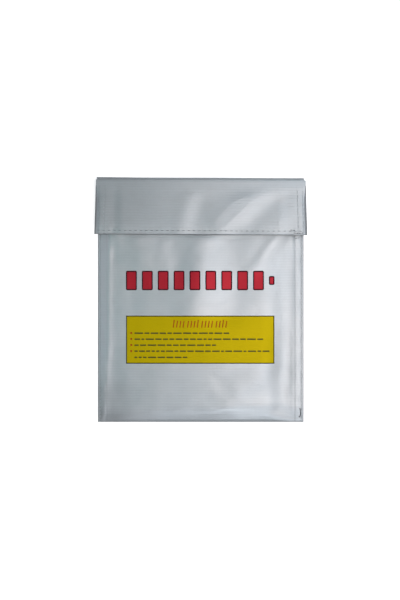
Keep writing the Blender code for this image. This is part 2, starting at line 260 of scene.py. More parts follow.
# ---- materials -----------------------------------------------------------------------------------------------
class Nodes:
    def __init__(self, name):
        self.mat = bpy.data.materials.new(name)
        self.mat.use_nodes = True
        self.t = self.mat.node_tree
        self.t.nodes.clear()
        self.out = self.add("ShaderNodeOutputMaterial")
        self.p = self.add("ShaderNodeBsdfPrincipled")
        self.link(self.p.outputs["BSDF"], self.out.inputs["Surface"])

    def add(self, kind, **sets):
        n = self.t.nodes.new(kind)
        for k, v in sets.items():
            setattr(n, k, v)
        return n

    def link(self, a, b):
        self.t.links.new(a, b)

    def math(self, op, a, b=None, c=None, clamp=False):
        n = self.add("ShaderNodeMath", operation=op, use_clamp=clamp)
        for k, v in enumerate((a, b, c)):
            if v is None:
                continue
            if isinstance(v, (int, float)):
                n.inputs[k].default_value = v
            else:
                self.link(v, n.inputs[k])
        return n.outputs[0]

    def attr(self, name, out="Fac"):
        n = self.add("ShaderNodeAttribute", attribute_name=name)
        return n.outputs[out]

    def sep(self, v):
        n = self.add("ShaderNodeSeparateXYZ")
        self.link(v, n.inputs[0])
        return n.outputs

    def noise(self, vec, scale, detail=2.0, rough=0.5):
        n = self.add("ShaderNodeTexNoise")
        n.inputs["Scale"].default_value = scale
        n.inputs["Detail"].default_value = detail
        n.inputs["Roughness"].default_value = rough
        self.link(vec, n.inputs["Vector"])
        return n.outputs

    def mix(self, fac, a, b, blend="MIX"):
        n = self.add("ShaderNodeMix", data_type="RGBA", blend_type=blend)
        for sock, v in ((n.inputs[0], fac), (n.inputs[6], a), (n.inputs[7], b)):
            if isinstance(v, (int, float)):
                sock.default_value = v
            elif isinstance(v, tuple):
                sock.default_value = (*v, 1.0)
            else:
                self.link(v, sock)
        return n.outputs[2]

    def ramp(self, fac, stops):
        n = self.add("ShaderNodeValToRGB")
        r = n.color_ramp
        while len(r.elements) < len(stops):
            r.elements.new(0.5)
        for e, (pos, col) in zip(r.elements, stops):
            e.position = pos
            e.color = (*col, 1.0) if isinstance(col, tuple) else (col, col, col, 1.0)
        self.link(fac, n.inputs[0])
        return n.outputs[0]

    def bump(self, height, strength, distance, normal=None):
        n = self.add("ShaderNodeBump")
        n.inputs["Strength"].default_value = strength
        n.inputs["Distance"].default_value = distance
        self.link(height, n.inputs["Height"])
        if normal is not None:
            self.link(normal, n.inputs["Normal"])
        return n.outputs[0]


def wave(t, coord, pitch, phase=0.0):
    """0..1 cosine wave along a coordinate in metres."""
    a = t.math("MULTIPLY_ADD", coord, 2 * math.pi / pitch, phase)
    return t.math("MULTIPLY_ADD", t.math("COSINE", a), 0.5, 0.5)


def silver_material(name="silver_cloth", base=(0.60, 0.640, 0.665), rough=0.37):
    t = Nodes(name)
    v = t.attr("cloth", "Vector")
    x, y, _ = t.sep(v)
    # the shade attribute is painted shade: it darkens the base colour and roughens it
    shade = t.attr("shade")
    wob = t.noise(v, 55.0, 2.0)[0]
    yy = t.math("MULTIPLY_ADD", wob, 0.0010, y)
    rib = wave(t, yy, 0.0024)
    warp = wave(t, t.math("MULTIPLY_ADD", wob, 0.0008, x), 0.0012)
    weft = wave(t, yy, 0.0012)
    grain = t.noise(v, 2600.0, 2.0)[0]
    broad = t.noise(v, 14.0, 3.0, 0.55)[0]
    fine = t.noise(v, 160.0, 3.0, 0.6)[0]
    tint = t.mix(broad, (base[0] * 0.97, base[1] * 1.0, base[2] * 1.03), (base[0] * 1.03, base[1] * 1.0, base[2] * 0.98))
    dirt = t.math("MULTIPLY_ADD", fine, 0.10, 0.95)
    ribs = t.math("MULTIPLY_ADD", rib, 0.03, 0.98)
    k = t.math("MULTIPLY", t.math("MULTIPLY", dirt, ribs), shade)
    col = t.mix(1.0, tint, t.ramp(k, [(0.0, 0.0), (1.0, 1.0)]), "MULTIPLY")
    t.link(col, t.p.inputs["Base Color"])
    t.p.inputs["Metallic"].default_value = 0.42
    r = t.math("MULTIPLY_ADD", fine, 0.10, rough - 0.05)
    r = t.math("MULTIPLY_ADD", t.math("SUBTRACT", 1.0, shade), 0.25, r)
    t.link(r, t.p.inputs["Roughness"])
    weave = t.math("ADD", t.math("MULTIPLY", warp, 0.5), t.math("MULTIPLY", weft, 0.5))
    h = t.math("ADD", t.math("MULTIPLY", rib, 0.44), t.math("MULTIPLY", weave, 0.34))
    h = t.math("ADD", h, t.math("MULTIPLY", grain, 0.12))
    t.link(t.bump(h, 0.5, 0.00012), t.p.inputs["Normal"])
    return t.mat


SILVER = silver_material()


def plain_material(name, base, rough, metal=0.0, var=0.08, scale=900.0, bump=0.00004, sheen=0.0, gloss=0.5):
    t = Nodes(name)
    geo = t.add("ShaderNodeTexCoord")
    v = geo.outputs["Object"]
    n = t.noise(v, scale, 3.0, 0.6)[0]
    b = t.noise(v, scale / 12, 2.0)[0]
    f = t.math("MULTIPLY_ADD", n, 2 * var, 1 - var)
    f = t.math("MULTIPLY", f, t.math("MULTIPLY_ADD", b, var, 1 - var / 2))
    col = t.mix(1.0, base, t.ramp(f, [(0.0, 0.0), (1.0, 1.0)]), "MULTIPLY")
    t.link(col, t.p.inputs["Base Color"])
    t.link(t.math("MULTIPLY_ADD", n, 0.15, rough - 0.07), t.p.inputs["Roughness"])
    t.p.inputs["Metallic"].default_value = metal
    t.p.inputs["Specular IOR Level"].default_value = gloss
    if sheen:
        t.p.inputs["Sheen Weight"].default_value = sheen
    t.link(t.bump(n, 0.6, bump), t.p.inputs["Normal"])
    return t.mat


THREAD = plain_material("thread_grey", (0.085, 0.095, 0.11), 0.6, 0.0, 0.15, 3000.0, sheen=0.3)
THREAD_LIGHT = plain_material("thread_silver", (0.36, 0.40, 0.43), 0.5, 0.1, 0.15, 3000.0, sheen=0.3)
THREAD_PALE = plain_material("thread_pale", (0.46, 0.50, 0.53), 0.5, 0.1, 0.12, 3000.0, sheen=0.3)
THREAD_MID = plain_material("thread_mid", (0.24, 0.27, 0.29), 0.5, 0.0, 0.15, 3000.0, sheen=0.3)
INK_DARK = plain_material("ink_maroon", (0.080, 0.006, 0.018), 0.6, gloss=0.12)
INK_RED = plain_material("ink_red", (0.55, 0.012, 0.030), 0.40, 0.34, gloss=0.3)
INK_YELLOW = plain_material("ink_yellow", (0.66, 0.50, 0.002), 0.42, 0.28, 0.05, gloss=0.05)
INK_OLIVE = plain_material("ink_olive", (0.080, 0.078, 0.012), 0.5, gloss=0.2)
INK_GREY_OLIVE = plain_material("ink_grey_olive", (0.135, 0.125, 0.018), 0.5, gloss=0.15)
INK_ORANGE = plain_material("ink_orange", (0.56, 0.115, 0.004), 0.5, gloss=0.12)
HOOK_M = plain_material("hook_nylon", (0.03, 0.03, 0.034), 0.4, 0.0, 0.2)
LOOP_M = plain_material("loop_nylon", (0.04, 0.04, 0.045), 0.8, 0.0, 0.3, sheen=0.6)


def lining_material():
    t = Nodes("glass_lining")
    v = t.attr("cloth", "Vector")
    x, y, _ = t.sep(v)
    warp, weft = wave(t, x, 0.0016), wave(t, y, 0.0016)
    over = t.math("ADD", t.math("MULTIPLY", warp, 0.5), t.math("MULTIPLY", weft, 0.5))
    fine = t.noise(v, 400.0, 3.0, 0.6)[0]
    col = t.mix(over, (0.50, 0.48, 0.41), (0.80, 0.78, 0.70))
    col = t.mix(0.25, col, t.ramp(fine, [(0.3, (0.55, 0.52, 0.44)), (0.7, (0.92, 0.90, 0.84))]), "MULTIPLY")
    t.link(col, t.p.inputs["Base Color"])
    t.link(t.math("MULTIPLY_ADD", fine, 0.2, 0.65), t.p.inputs["Roughness"])
    t.link(t.bump(over, 0.8, 0.0002), t.p.inputs["Normal"])
    return t.mat


LINING = lining_material()


def askew(ob, weight=None):
    """The flap hangs a third of a degree out of square with the body."""
    me = ob.data
    co = np.empty(len(me.vertices) * 3, np.float32)
    me.vertices.foreach_get("co", co)
    co = co.reshape(-1, 3)
    w = 1.0 if weight is None else weight(co[:, 2] / MM)
    co[:, 1] -= 0.0056 * co[:, 0] * w
    me.vertices.foreach_set("co", co.ravel())
    me.update()


def give(ob, mat, body, *nodes, slot=None):
    ob.data.materials.clear()
    ob.data.materials.append(mat)
    if body == "flap":
        askew(ob)
    if body:
        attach(ob, body)
    if nodes:
        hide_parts(*nodes)
    return ob


# ---- the front cloth's shape --------------------------------------------------------------------------------
broad1 = Noise(11, 46.0, 62.0)
broad2 = Noise(12, 24.0, 34.0)
pucker = Noise(13, 9.0, 5.5)
crisp = Noise(14, 7.0, 9.0)
dimple = Noise(15, 2.6, 3.2)


def lift(x, y):
    """How far the underside stands off the surface: at its sewn sides, not at the bottom fold."""
    return LIFT * smooth((np.abs(x) - 62.0) / 24.0) * smooth((y - YB + 1.0) / 16.0) * smooth((YT - 2.0 - y) / 14.0)


def full(x, y):
    """Height away from the sides: level under the flap, lower towards the left and the bottom below it."""
    t = smooth((FREE + 6.0 - y) / 50.0)
    low = clip01((-5.0 - y) / 100.0)
    dome = BELLY_Z - 2.3 * clip01((14.0 - x) / 94.0) ** 1.3 - 0.5 * clip01((x - 20.0) / 62.0) ** 2 - 1.3 * low ** 1.6
    dome = dome - 0.6 * clip01((-38.0 - x) / 46.0) ** 1.4 * smooth((-40.0 - y) / 44.0)
    dome = dome - 0.7 * smooth((x + 8.0) / 56.0) * smooth((y + 50.0) / 55.0)
    return POCKET_Z + (dome - POCKET_Z) * t


def front_base(x, y):
    """Nearly flat: a low pillow with mitred corners and a strip along each side, the left one sloping."""
    ax = np.abs(x)
    f = full(x, y)
    tilt = np.where(x > 0, 0.52, 1.3)
    seam = SEAM_Z - LIFT + lift(x, y) + tilt * clip01((XB - ax) / 7.6) * smooth((y - YB - 1.0) / 14.0)
    run = 13.0 + (SHOULDER - 13.0) * smooth((66.0 - y) / 30.0)
    run = run * np.where(x > 0, 1.0, 0.62)
    inward = clip01((CREASE - ax) / run)
    late = smooth((-5.0 - y) / 40.0) * (x > 0)
    s = (1.0 - late) * (1.0 - (1.0 - inward) ** 1.7) + late * smooth(inward)
    side = seam + (f - seam) * s
    t = y - YB
    e = 0.36 * np.sqrt(np.maximum(1 - (1 - clip01(t / 2.2)) ** 2, 0)) + 0.64 * (1.0 - (1.0 - clip01(t / BOTTOM)) ** 2.3)
    bot = FOLD_Z + (f - FOLD_Z) * e
    return smin(side, bot, 1.2)


# soft creases: (start, end, half width, height); the fall is on the right of the way from start to end
BODY_WAVES = [
    ((8.0, -20.0), (16.0, 64.0), 15.0, 0.76),
    ((46.5, 20.5), (77.5, 58.5), 5.5, 0.24),
    ((-21.0, 14.0), (-29.0, 50.0), 7.0, 0.16),
    ((-63.0, 58.0), (-57.0, 28.0), 9.0, 0.26),
    ((27.0, -101.0), (73.0, -55.0), 9.4, 0.34),
    ((61.0, -10.0), (61.0, 30.0), 7.0, 0.08),
    ((2.0, -103.0), (82.0, -93.5), 4.4, 0.25),
    ((-70.0, -40.0), (-70.0, 30.0), 9.0, 0.20),
    ((27.0, -10.0), (27.0, 18.0), 9.0, 0.13),
    ((43.0, 36.0), (53.0, 58.0), 6.0, 0.11),
]
# painted shade: soft darker patches on the front cloth, their cause on the real bag unknown: (x, y, half widths, depth)
BODY_TONES = [
    (-56.0, 50.0, 15.0, 12.0, 0.055),
    (70.0, -31.0, 8.0, 15.0, 0.050),
    (75.0, -83.0, 10.0, 9.0, 0.050),
    (33.0, -68.0, 12.0, 8.0, 0.050),
    (57.0, 3.0, 9.0, 9.0, 0.045),
]
# painted shade: soft darker patches on the flap, of the same kind: (x, y, half widths, depth)
FLAP_TONES = [
    (-52.0, 88.0, 13.0, 12.0, 0.035),
    (-88.0, 92.0, 12.0, 14.0, 0.040),
    (79.0, 92.0, 9.0, 10.0, 0.045),
    (33.0, 63.0, 9.0, 5.0, 0.040),
]


# sum of the painted shade patches at each point
def duller(x, y, marks):
    out = 0.0 * x
    for cx, cy, wx, wy, depth in marks:
        out = out + depth * np.exp(-((x - cx) / wx) ** 2 - ((y - cy) / wy) ** 2)
    return out


FLAP_WAVES = [
    ((20.5, 57.0), (63.0, 99.0), 9.4, 0.56),
    ((-14.0, 54.0), (-4.0, 96.0), 7.4, 0.23),
    ((70.0, 58.0), (80.0, 74.0), 4.5, 0.08),
    ((-84.0, 60.0), (-80.0, 98.0), 6.0, 0.08),
    ((-80.0, 60.0), (-76.0, 68.0), 2.6, 0.07),
]


def crease_wave(x, y, p0, p1, w, h):
    """A low wave across a line: a crest w to its left, a hollow w to its right."""
    x0, y0, x1, y1 = *p0, *p1
    length = math.hypot(x1 - x0, y1 - y0)
    ex, ey = (x1 - x0) / length, (y1 - y0) / length
    s = (x - x0) * ex + (y - y0) * ey
    d = (x - x0) * ey - (y - y0) * ex
    ends = smooth((s + 8.0) / 14.0) * smooth((length + 8.0 - s) / 14.0)
    return -h * (d / w) * np.exp(0.5 - 0.5 * (d / w) ** 2) * ends


def front_detail(x, y):
    """Creases, stitch dips, the ridge over the turned-in edges, and slack."""
    ax = np.abs(x)
    dx = CREASE - ax
    inside = smooth(dx / 8.0) * smooth((y - YB) / 12.0)
    z = 0.0 * x
    z += inside * (0.10 * broad1(x, y) + 0.05 * broad2(x, y))
    open_part = smooth((FREE + 5.0 - y) / 9.0)
    far_in = smooth(dx / (8.0 + 8.0 * smooth((-20.0 - y) / 25.0) * (x > 0))) * smooth((y - YB) / 12.0)
    for p0, p1, w, h in BODY_WAVES:
        z += far_in * open_part * crease_wave(x, y, p0, p1, w, h)
    ridge_at = np.where(x > 0, 2.4, 1.9)
    ridge_w = np.where(x > 0, 1.5, 3.5)
    held = np.where(x > 0, smooth((y - YB - 4) / 8.0), smooth((y - YB - 26) / 60.0))
    z += np.where(x > 0, 0.06, 0.52) * np.exp(-((dx - ridge_at) / ridge_w) ** 2) * held
    z += 0.03 * np.exp(-((y - YB - 13.0 - 2.2 * (x / 80.0) ** 2) / 5.0) ** 2) * smooth((dx - 2) / 8.0)
    z -= (0.17 + 0.07 * smooth((10.0 - y) / 30.0)) * np.exp(-((dx - 11.0) / 6.0) ** 2) * (x > 0) * smooth((44.0 - y) / 40.0) * smooth((y - YB - 4.0) / 12.0)
    z += 0.08 * pucker(x, y) * np.exp(-((dx - 3.0) / 5.0) ** 2) * smooth((y - YB) / 5)
    z += 0.06 * pucker(y, x) * np.exp(-((y - YB - 4.0) / 5.0) ** 2) * smooth(dx / 6)
    z -= np.where(x > 0, 0.03, 0.04) * np.exp(-((ax - CREASE) / 0.55) ** 2)
    z += 0.085 * dimple(x, y) * np.exp(-((ax - (XB - 5.0)) / 2.2) ** 4)
    row = 0.5 + 0.5 * np.cos(2 * math.pi * (y - SEAM_T_LO[1]) / 3.4)
    z -= (0.03 + 0.09 * row) * np.exp(-((ax - (XB - 2.1)) / 0.55) ** 2)
    z += 0.07 * np.exp(-((ax - (XB - 5.2)) / 2.0) ** 2)
    return z


def edge_roll(x, y, z, mid=FOLD_Z, half=XB, over=0.8):
    """Side edges roll round to meet the other cloth at mid height."""
    t = clip01((np.abs(x) - (half - over)) / over)
    m = mid + lift(x, y)
    return m + (z - m) * np.sqrt(np.maximum(1 - t * t, 0.0))


# cloth simulation of the belly: slack cloth between its stitched edges
SIM = None


def simulate_belly():
    """Runs Blender's cloth on the belly between the creases, and returns how far each point moved."""
    nx, ny = 58, 56
    xs = np.linspace(-CREASE + 0.5, CREASE - 0.5, nx)
    ys = np.linspace(YB + 3.0, FREE + 8.0, ny)
    gx, gy = np.meshgrid(xs, ys, indexing="ij")
    z0 = front_base(gx, gy)
    up = 10.0                                    # simulated ten times larger
    ob = make("belly_sim", np.stack([gx, gy, z0], -1).reshape(-1, 3) * up, grid_quads(nx, ny))
    vg = ob.vertex_groups.new(name="held")
    idx = np.arange(nx * ny).reshape(nx, ny)
    held = np.zeros((nx, ny), bool)
    held[:1], held[-1:], held[:, :1], held[:, -2:] = True, True, True, True
    vg.add([int(i) for i in idx[held]], 1.0, "REPLACE")
    m = ob.modifiers.new("cloth", "CLOTH")
    c = m.settings
    c.quality = 6
    c.mass = 0.35
    c.tension_stiffness = c.compression_stiffness = 40.0
    c.shear_stiffness = 20.0
    c.bending_stiffness = 6.0
    c.tension_damping = c.compression_damping = c.shear_damping = 15.0
    c.bending_damping = 4.0
    c.air_damping = 4.0
    c.vertex_group_mass = "held"
    c.shrink_min = -0.012
    c.shrink_max = -0.012
    c.effector_weights.gravity = 0.0
    c.use_pressure = True
    c.uniform_pressure_force = 0.25
    m.collision_settings.use_collision = False
    sc = bpy.context.scene
    for f in range(1, 26):
        sc.frame_set(f)
    dg = bpy.context.evaluated_depsgraph_get()
    me = ob.evaluated_get(dg).to_mesh()
    co = np.empty(len(me.vertices) * 3, np.float32)
    me.vertices.foreach_get("co", co)
    p = co.reshape(nx, ny, 3).astype(float) / MM / up
    ob.evaluated_get(dg).to_mesh_clear()
    sc.frame_set(1)
    bpy.data.objects.remove(ob)
    move = p[..., 2] - z0
    print("belly sim moves", float(move.min()), float(move.max()), float(move.std()))


    def blur(a, times):
        for _ in range(times):
            a = np.pad(a, 1, mode="edge")
            a = (a[:-2, 1:-1] + a[2:, 1:-1] + a[1:-1, :-2] + a[1:-1, 2:] + 4 * a[1:-1, 1:-1]) / 8
        return a
    # the broad shape is the pillow above; the simulated cloth gives its small creases
    fine = blur(move, 2) - blur(move, 26)
    fine = np.clip(fine * (0.045 / float(fine.std())), -0.12, 0.12)
    return xs, ys, fine


SIM = simulate_belly()


def sim_offset(x, y):
    if SIM is None:
        return 0.0 * x
    xs, ys, mv = SIM
    u = (x - xs[0]) / (xs[1] - xs[0])
    v = (y - ys[0]) / (ys[1] - ys[0])
    inside = (u >= 0) & (u <= len(xs) - 1) & (v >= 0) & (v <= len(ys) - 1)
    u = np.clip(u, 1, len(xs) - 3.001)
    v = np.clip(v, 1, len(ys) - 3.001)
    i, j = np.floor(u).astype(int), np.floor(v).astype(int)
    fu, fv = u - i, v - j

    def w(f):
        return [(1 - f) ** 3 / 6, (3 * f ** 3 - 6 * f ** 2 + 4) / 6,
                (-3 * f ** 3 + 3 * f ** 2 + 3 * f + 1) / 6, f ** 3 / 6]
    wu, wv = w(fu), w(fv)
    out = np.zeros(x.shape)
    for a in range(4):
        for b in range(4):
            out += wu[a] * wv[b] * mv[i + a - 1, j + b - 1]
    fade = smooth((CREASE - np.abs(x)) / 5.0) * smooth((y - YB) / 8.0) * smooth((FREE + 2.0 - y) / 10.0)
    return np.where(inside, out * fade, 0.0)


def front_z(x, y):
    z = front_base(x, y) + front_detail(x, y) + sim_offset(x, y)
    return z


RIB = 2.4


def rib_height(yc):
    return 0.020 * np.cos(2 * math.pi * yc / RIB)


def grid_reader(xs, ys, val):
    """Reads a value kept at the points of an uneven grid."""
    def read(x, y):
        x, y = np.broadcast_arrays(np.asarray(x, float), np.asarray(y, float))
        i = np.clip(np.searchsorted(xs, x) - 1, 0, len(xs) - 2)
        j = np.clip(np.searchsorted(ys, y) - 1, 0, len(ys) - 2)
        fx = clip01((x - xs[i]) / (xs[i + 1] - xs[i]))
        fy = clip01((y - ys[j]) / (ys[j + 1] - ys[j]))
        return ((val[i, j] * (1 - fx) + val[i + 1, j] * fx) * (1 - fy) +
                (val[i, j + 1] * (1 - fx) + val[i + 1, j + 1] * fx) * fy)
    return read


CLOTH_Y = None


def build_front():
    xs = spacing(-XB, XB, 0.45, 1.45, 11.5)
    a = np.linspace(0, math.pi / 2, 7)
    r = FOLD_Z
    tail_y = np.linspace(YB + 8.0, YB + r, 5, endpoint=False)
    low = [(y, 0.0) for y in tail_y] + [(YB + r - r * math.sin(q), r - r * math.cos(q)) for q in a]
    q = np.linspace(0, math.pi / 2, 22)[1:]
    up_y = YB + 5.0 * (1 - np.cos(q))
    rest_y = np.linspace(up_y[-1], MOUTH, 262)[1:]
    ys = np.concatenate([up_y, rest_y])
    gx, gy = np.meshgrid(xs, ys, indexing="ij")
    z = front_z(gx, gy)
    # cloth's own length along each column, for its ribs
    zm = front_base(gx, gy)
    step = np.hypot(np.diff(gy, axis=1), np.diff(zm, axis=1))
    first = np.hypot(gy[:, :1] - YB, zm[:, :1] - r)
    yc = np.concatenate([first, first + np.cumsum(step, axis=1)], 1)
    yc = yc - yc[:, -1:] + MOUTH
    global CLOTH_Y
    CLOTH_Y = grid_reader(xs, ys, yc)
    z = z + rib_height(yc) * smooth((np.abs(gx) < XB - 1.0) * 1.0)
    roll = smooth((gy - (MOUTH - 1.0)) / 1.0)
    z = z - 0.55 * roll ** 2
    top = np.stack([gx, gy, z], -1)
    lowg = np.zeros((len(xs), len(low), 3))
    lowg[..., 0] = xs[:, None]
    lowg[..., 1] = [p[0] for p in low]
    lowg[..., 2] = [p[1] for p in low]
    outer = np.concatenate([lowg, top], 1)
    n_low = len(low)
    outer[:, :n_low, 2] += lift(outer[:, :n_low, 0], outer[:, :n_low, 1]) * smooth((outer[:, :n_low, 1] - YB - 2.0) / 3.0)
    outer[..., 2] = edge_roll(outer[..., 0], outer[..., 1], outer[..., 2])
    lowc = yc[:, :1] - first - np.concatenate([np.cumsum(np.hypot(np.diff([p[0] for p in low]), np.diff([p[1] for p in low]))[::-1])[::-1], [0]])[None, :]
    cl = np.concatenate([lowc, yc], 1)
    cxy = np.stack([np.broadcast_to(outer[..., 0], cl.shape), cl], -1)
    # painted shade on the front cloth: creases, stitch dips, rolled edges, the bottom, the lower left corner, patches
    # and under the flap's edge
    ax, y = np.abs(outer[..., 0]), outer[..., 1]
    shade = np.ones(ax.shape)
    on_top = np.concatenate([np.zeros((len(xs), len(low)), bool), np.ones(gx.shape, bool)], 1)
    # painted shade along the side creases, stronger on the right
    shade -= np.where(outer[..., 0] > 0, 0.20, 0.05) * np.exp(-((ax - CREASE + 0.1) / 0.42) ** 2) * on_top
    # painted shade in the stitch dips along the side seams, deeper on the right
    rowd = 0.5 + 0.5 * np.cos(2 * math.pi * (y - SEAM_T_LO[1]) / 3.4)
    right = smooth(outer[..., 0])
    shade -= (0.18 + 0.16 * right) * (0.3 + 0.7 * rowd) * np.exp(-((ax - (XB - 2.1)) / 0.45) ** 2) * on_top
    # painted shade on the side edges where they roll under
    shade -= (0.16 - 0.11 * right) * smooth((ax - (XB - 0.55)) / 0.55)
    # painted shade along the bottom fold's edge and over the lowest 12 mm, darker towards the bottom
    shade -= 0.04 * np.exp(-((y - YB) / 0.8) ** 2)
    shade -= 0.10 * smooth((12.0 - (y - YB)) / 7.0) * (1.0 - 0.5 * smooth((outer[..., 0] - 10.0) / 30.0)) * on_top
    # painted shade darkening the lower left corner
    shade -= 0.21 * smooth((-50.0 - outer[..., 0]) / 30.0) * smooth((-64.0 - y) / 20.0) * on_top
    # painted shade: the band below darkens the cloth just inside the right crease
    # a duller band just inside the right crease, of unknown cause
    band = np.exp(-((ax - (XB - 9.4)) / 3.4) ** 2) * (outer[..., 0] > 0)
    shade -= 0.115 * band * smooth((46.0 - y) / 26.0) * (1.0 - 0.6 * smooth((-62.0 - y) / 22.0)) * on_top
    # painted shade patches on the front cloth
    shade -= duller(outer[..., 0], y, BODY_TONES) * on_top
    # painted shadow cast on the front cloth below the flap's free edge
    under = (FREE - 0.0056 * outer[..., 0]) - y
    shade -= (0.09 * np.exp(-((under - 1.5) / 3.4) ** 2) + 0.25 * np.exp(-((under - 0.1) / 0.5) ** 2)) * on_top
    ob = cloth_shell("front_cloth", outer, 0.5, cxy, np.clip(shade, 0.15, 1))
    return give(ob, SILVER, "pouch", "front_panel", slot="coated_glass_cloth")


front = build_front()


# ---- back cloth and top fold -------------------------------------------------------------------------------
def build_back():
    xs = spacing(-XB, XB, 0.45, 3.0, 4.0)
    ys = np.linspace(YB + 8.3, T - 1.5, 150)
    gx, gy = np.meshgrid(xs, ys, indexing="ij")
    n = Noise(21, 38.0, 44.0)
    z = lift(gx, gy) + 0.10 * clip01(n(gx, gy)) * smooth((XB - np.abs(gx)) / 10)
    z = edge_roll(gx, gy, z, FOLD_Z - 0.1)
    # faces down, so the columns run the other way
    outer = np.stack([gx, gy, z], -1)[::-1]
    cxy = np.stack([gx, gy], -1)[::-1]
    # painted shade on the side edges where the cloth rolls up
    shade = 1.0 - 0.35 * smooth((np.abs(gx[::-1]) - (XB - 0.6)) / 0.6)
    ob = cloth_shell("back_cloth", outer, 0.5, cxy, shade, inner_shade=0.9)
    return give(ob, SILVER, "pouch", "back_panel", slot="coated_glass_cloth")


back = build_back()


def flap_half(y):
    return HALF_FOLD + (HALF_EDGE - HALF_FOLD) * clip01((YT - y) / (YT - FREE))


def turn(p):
    """The bend over the top: almost square on its outer half, rounder underneath."""
    e = 5.6 if p > math.pi / 2 else 2.3
    c, s = abs(math.cos(p)) ** (2 / e), abs(math.sin(p)) ** (2 / e)
    return T + R * s, R + (R * c if p > math.pi / 2 else -R * c)


def build_fold():
    """The cloth bending over the top, from under the back to the top of the flap."""
    u = spacing(-1.0, 1.0, 0.006, 0.03, 0.07)
    phi = np.concatenate([np.linspace(0, math.pi * 0.5, 21), math.pi * (0.5 + 0.5 * np.linspace(0, 1, 34)[1:])])
    pts = [(T - 1.5, 0.0), (T - 0.8, 0.0)] + [turn(p) for p in phi] + [(T - 0.8, ZF), (T - 1.5, ZF)]
    y = np.array([p[0] for p in pts])
    z = np.array([p[1] for p in pts])
    s = np.concatenate([[0], np.cumsum(np.hypot(np.diff(y), np.diff(z)))])
    f = smooth((z - 1.0) / (ZF - 2.0))
    half = XB + (HALF_FOLD - XB) * f
    nick = 1.5 * smooth((y - (T + 3.6)) / 0.7)
    right = half - nick * smooth((z - 3.0) / 4.0)
    gx = np.where(u[:, None] > 0, u[:, None] * right[None, :], u[:, None] * (half - 0.5 * nick)[None, :])
    n = Noise(31, 18.0, 30.0)
    wob = 0.22 * n(gx, z[None, :] * 3) * np.sin(np.pi * clip01(z / ZF))[None, :]
    gy = y[None, :] - 0.25 - wob * 0.6 + 0 * gx
    gy = np.where((z[None, :] < 0.01) | (z[None, :] > ZF - 0.01), y[None, :], gy)
    gz = z[None, :] + lift(gx, np.minimum(gy, T)) * clip01(1.0 - z[None, :] / ZF)
    # side edges close in a little, as the turned-in hem stiffens them
    outer = np.stack([gx, gy, gz], -1)
    cxy = np.stack([gx, np.broadcast_to(T - 1.5 + s, gx.shape)], -1)
    # painted shade on the fold's side edges
    shade = 1.0 - 0.30 * smooth((np.abs(gx) - (half[None, :] - 0.8)) / 0.8)
    # painted shade carried on from the flap over the fold's outer half: darker to the left, and a little darker overall
    on_flap = smooth((z[None, :] - R) / R)
    shade = shade - on_flap * (0.15 * smooth((6.0 - gx) / 84.0) + 0.04)
    outer = outer[::-1]
    ob = cloth_shell("fold_cloth", outer, 0.5, cxy[::-1], shade[::-1])
    ob.data.materials.clear()
    ob.data.materials.append(SILVER)
    askew(ob, lambda z: smooth((z - 1.0) / (ZF - 3.0)))
    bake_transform(ob)
    return ob


fold = build_fold()

# ---- flap ---------------------------------------------------------------------------------------------------
flap_noise = Noise(41, 30.0, 22.0)
flap_pucker = Noise(42, 4.5, 6.0)


def droop(u, y):
    g = smooth((T - y) / 16.0)
    t = clip01(1.0 - u / 5.0)
    return -1.35 * g * t ** 2.4


def flap_z(x, y):
    u = flap_half(y) - np.abs(x)
    z = ZF + droop(u, y)
    g = smooth((T - 1.5 - y) / 9.0)
    gw = smooth((T - 1.5 - y) / 15.0)
    low = smooth((np.abs(x) - 69.0) / 9.0)
    z = z - 0.30 * low * g
    z = z + g * smooth(u / 8) * (0.05 * flap_noise(x, y))
    for p0, p1, w, h in FLAP_WAVES:
        z = z + gw * smooth(u / 7) * crease_wave(x, y, p0, p1, w, h)
    z = z - g * 0.05 * np.exp(-((u - 8.4) / 0.6) ** 2)
    z = z - g * 0.09 * np.exp(-((u - 3.2) / 0.6) ** 2)
    row = 0.5 + 0.5 * np.cos(2 * math.pi * (x + HALF_EDGE - 1.6) / 4.7)
    z = z - (0.01 + 0.07 * row) * np.exp(-((y - FREE - 3.4) / 1.0) ** 2)
    z = z - 0.03 * row * np.exp(-((y - FREE - 6.0) / 2.6) ** 2)
    z = z + 0.04 * flap_pucker(x, y) * np.exp(-((y - FREE - 4.5) / 3.5) ** 2)
    return np.minimum(z, ZF + 0.45)


def tape_wave(x, y):
    """How far the loop tape gives with the flap's waves."""
    out = 0.0 * x
    for p0, p1, w, h in FLAP_WAVES:
        out = out + crease_wave(x, y, p0, p1, w, h)
    return 0.6 * out


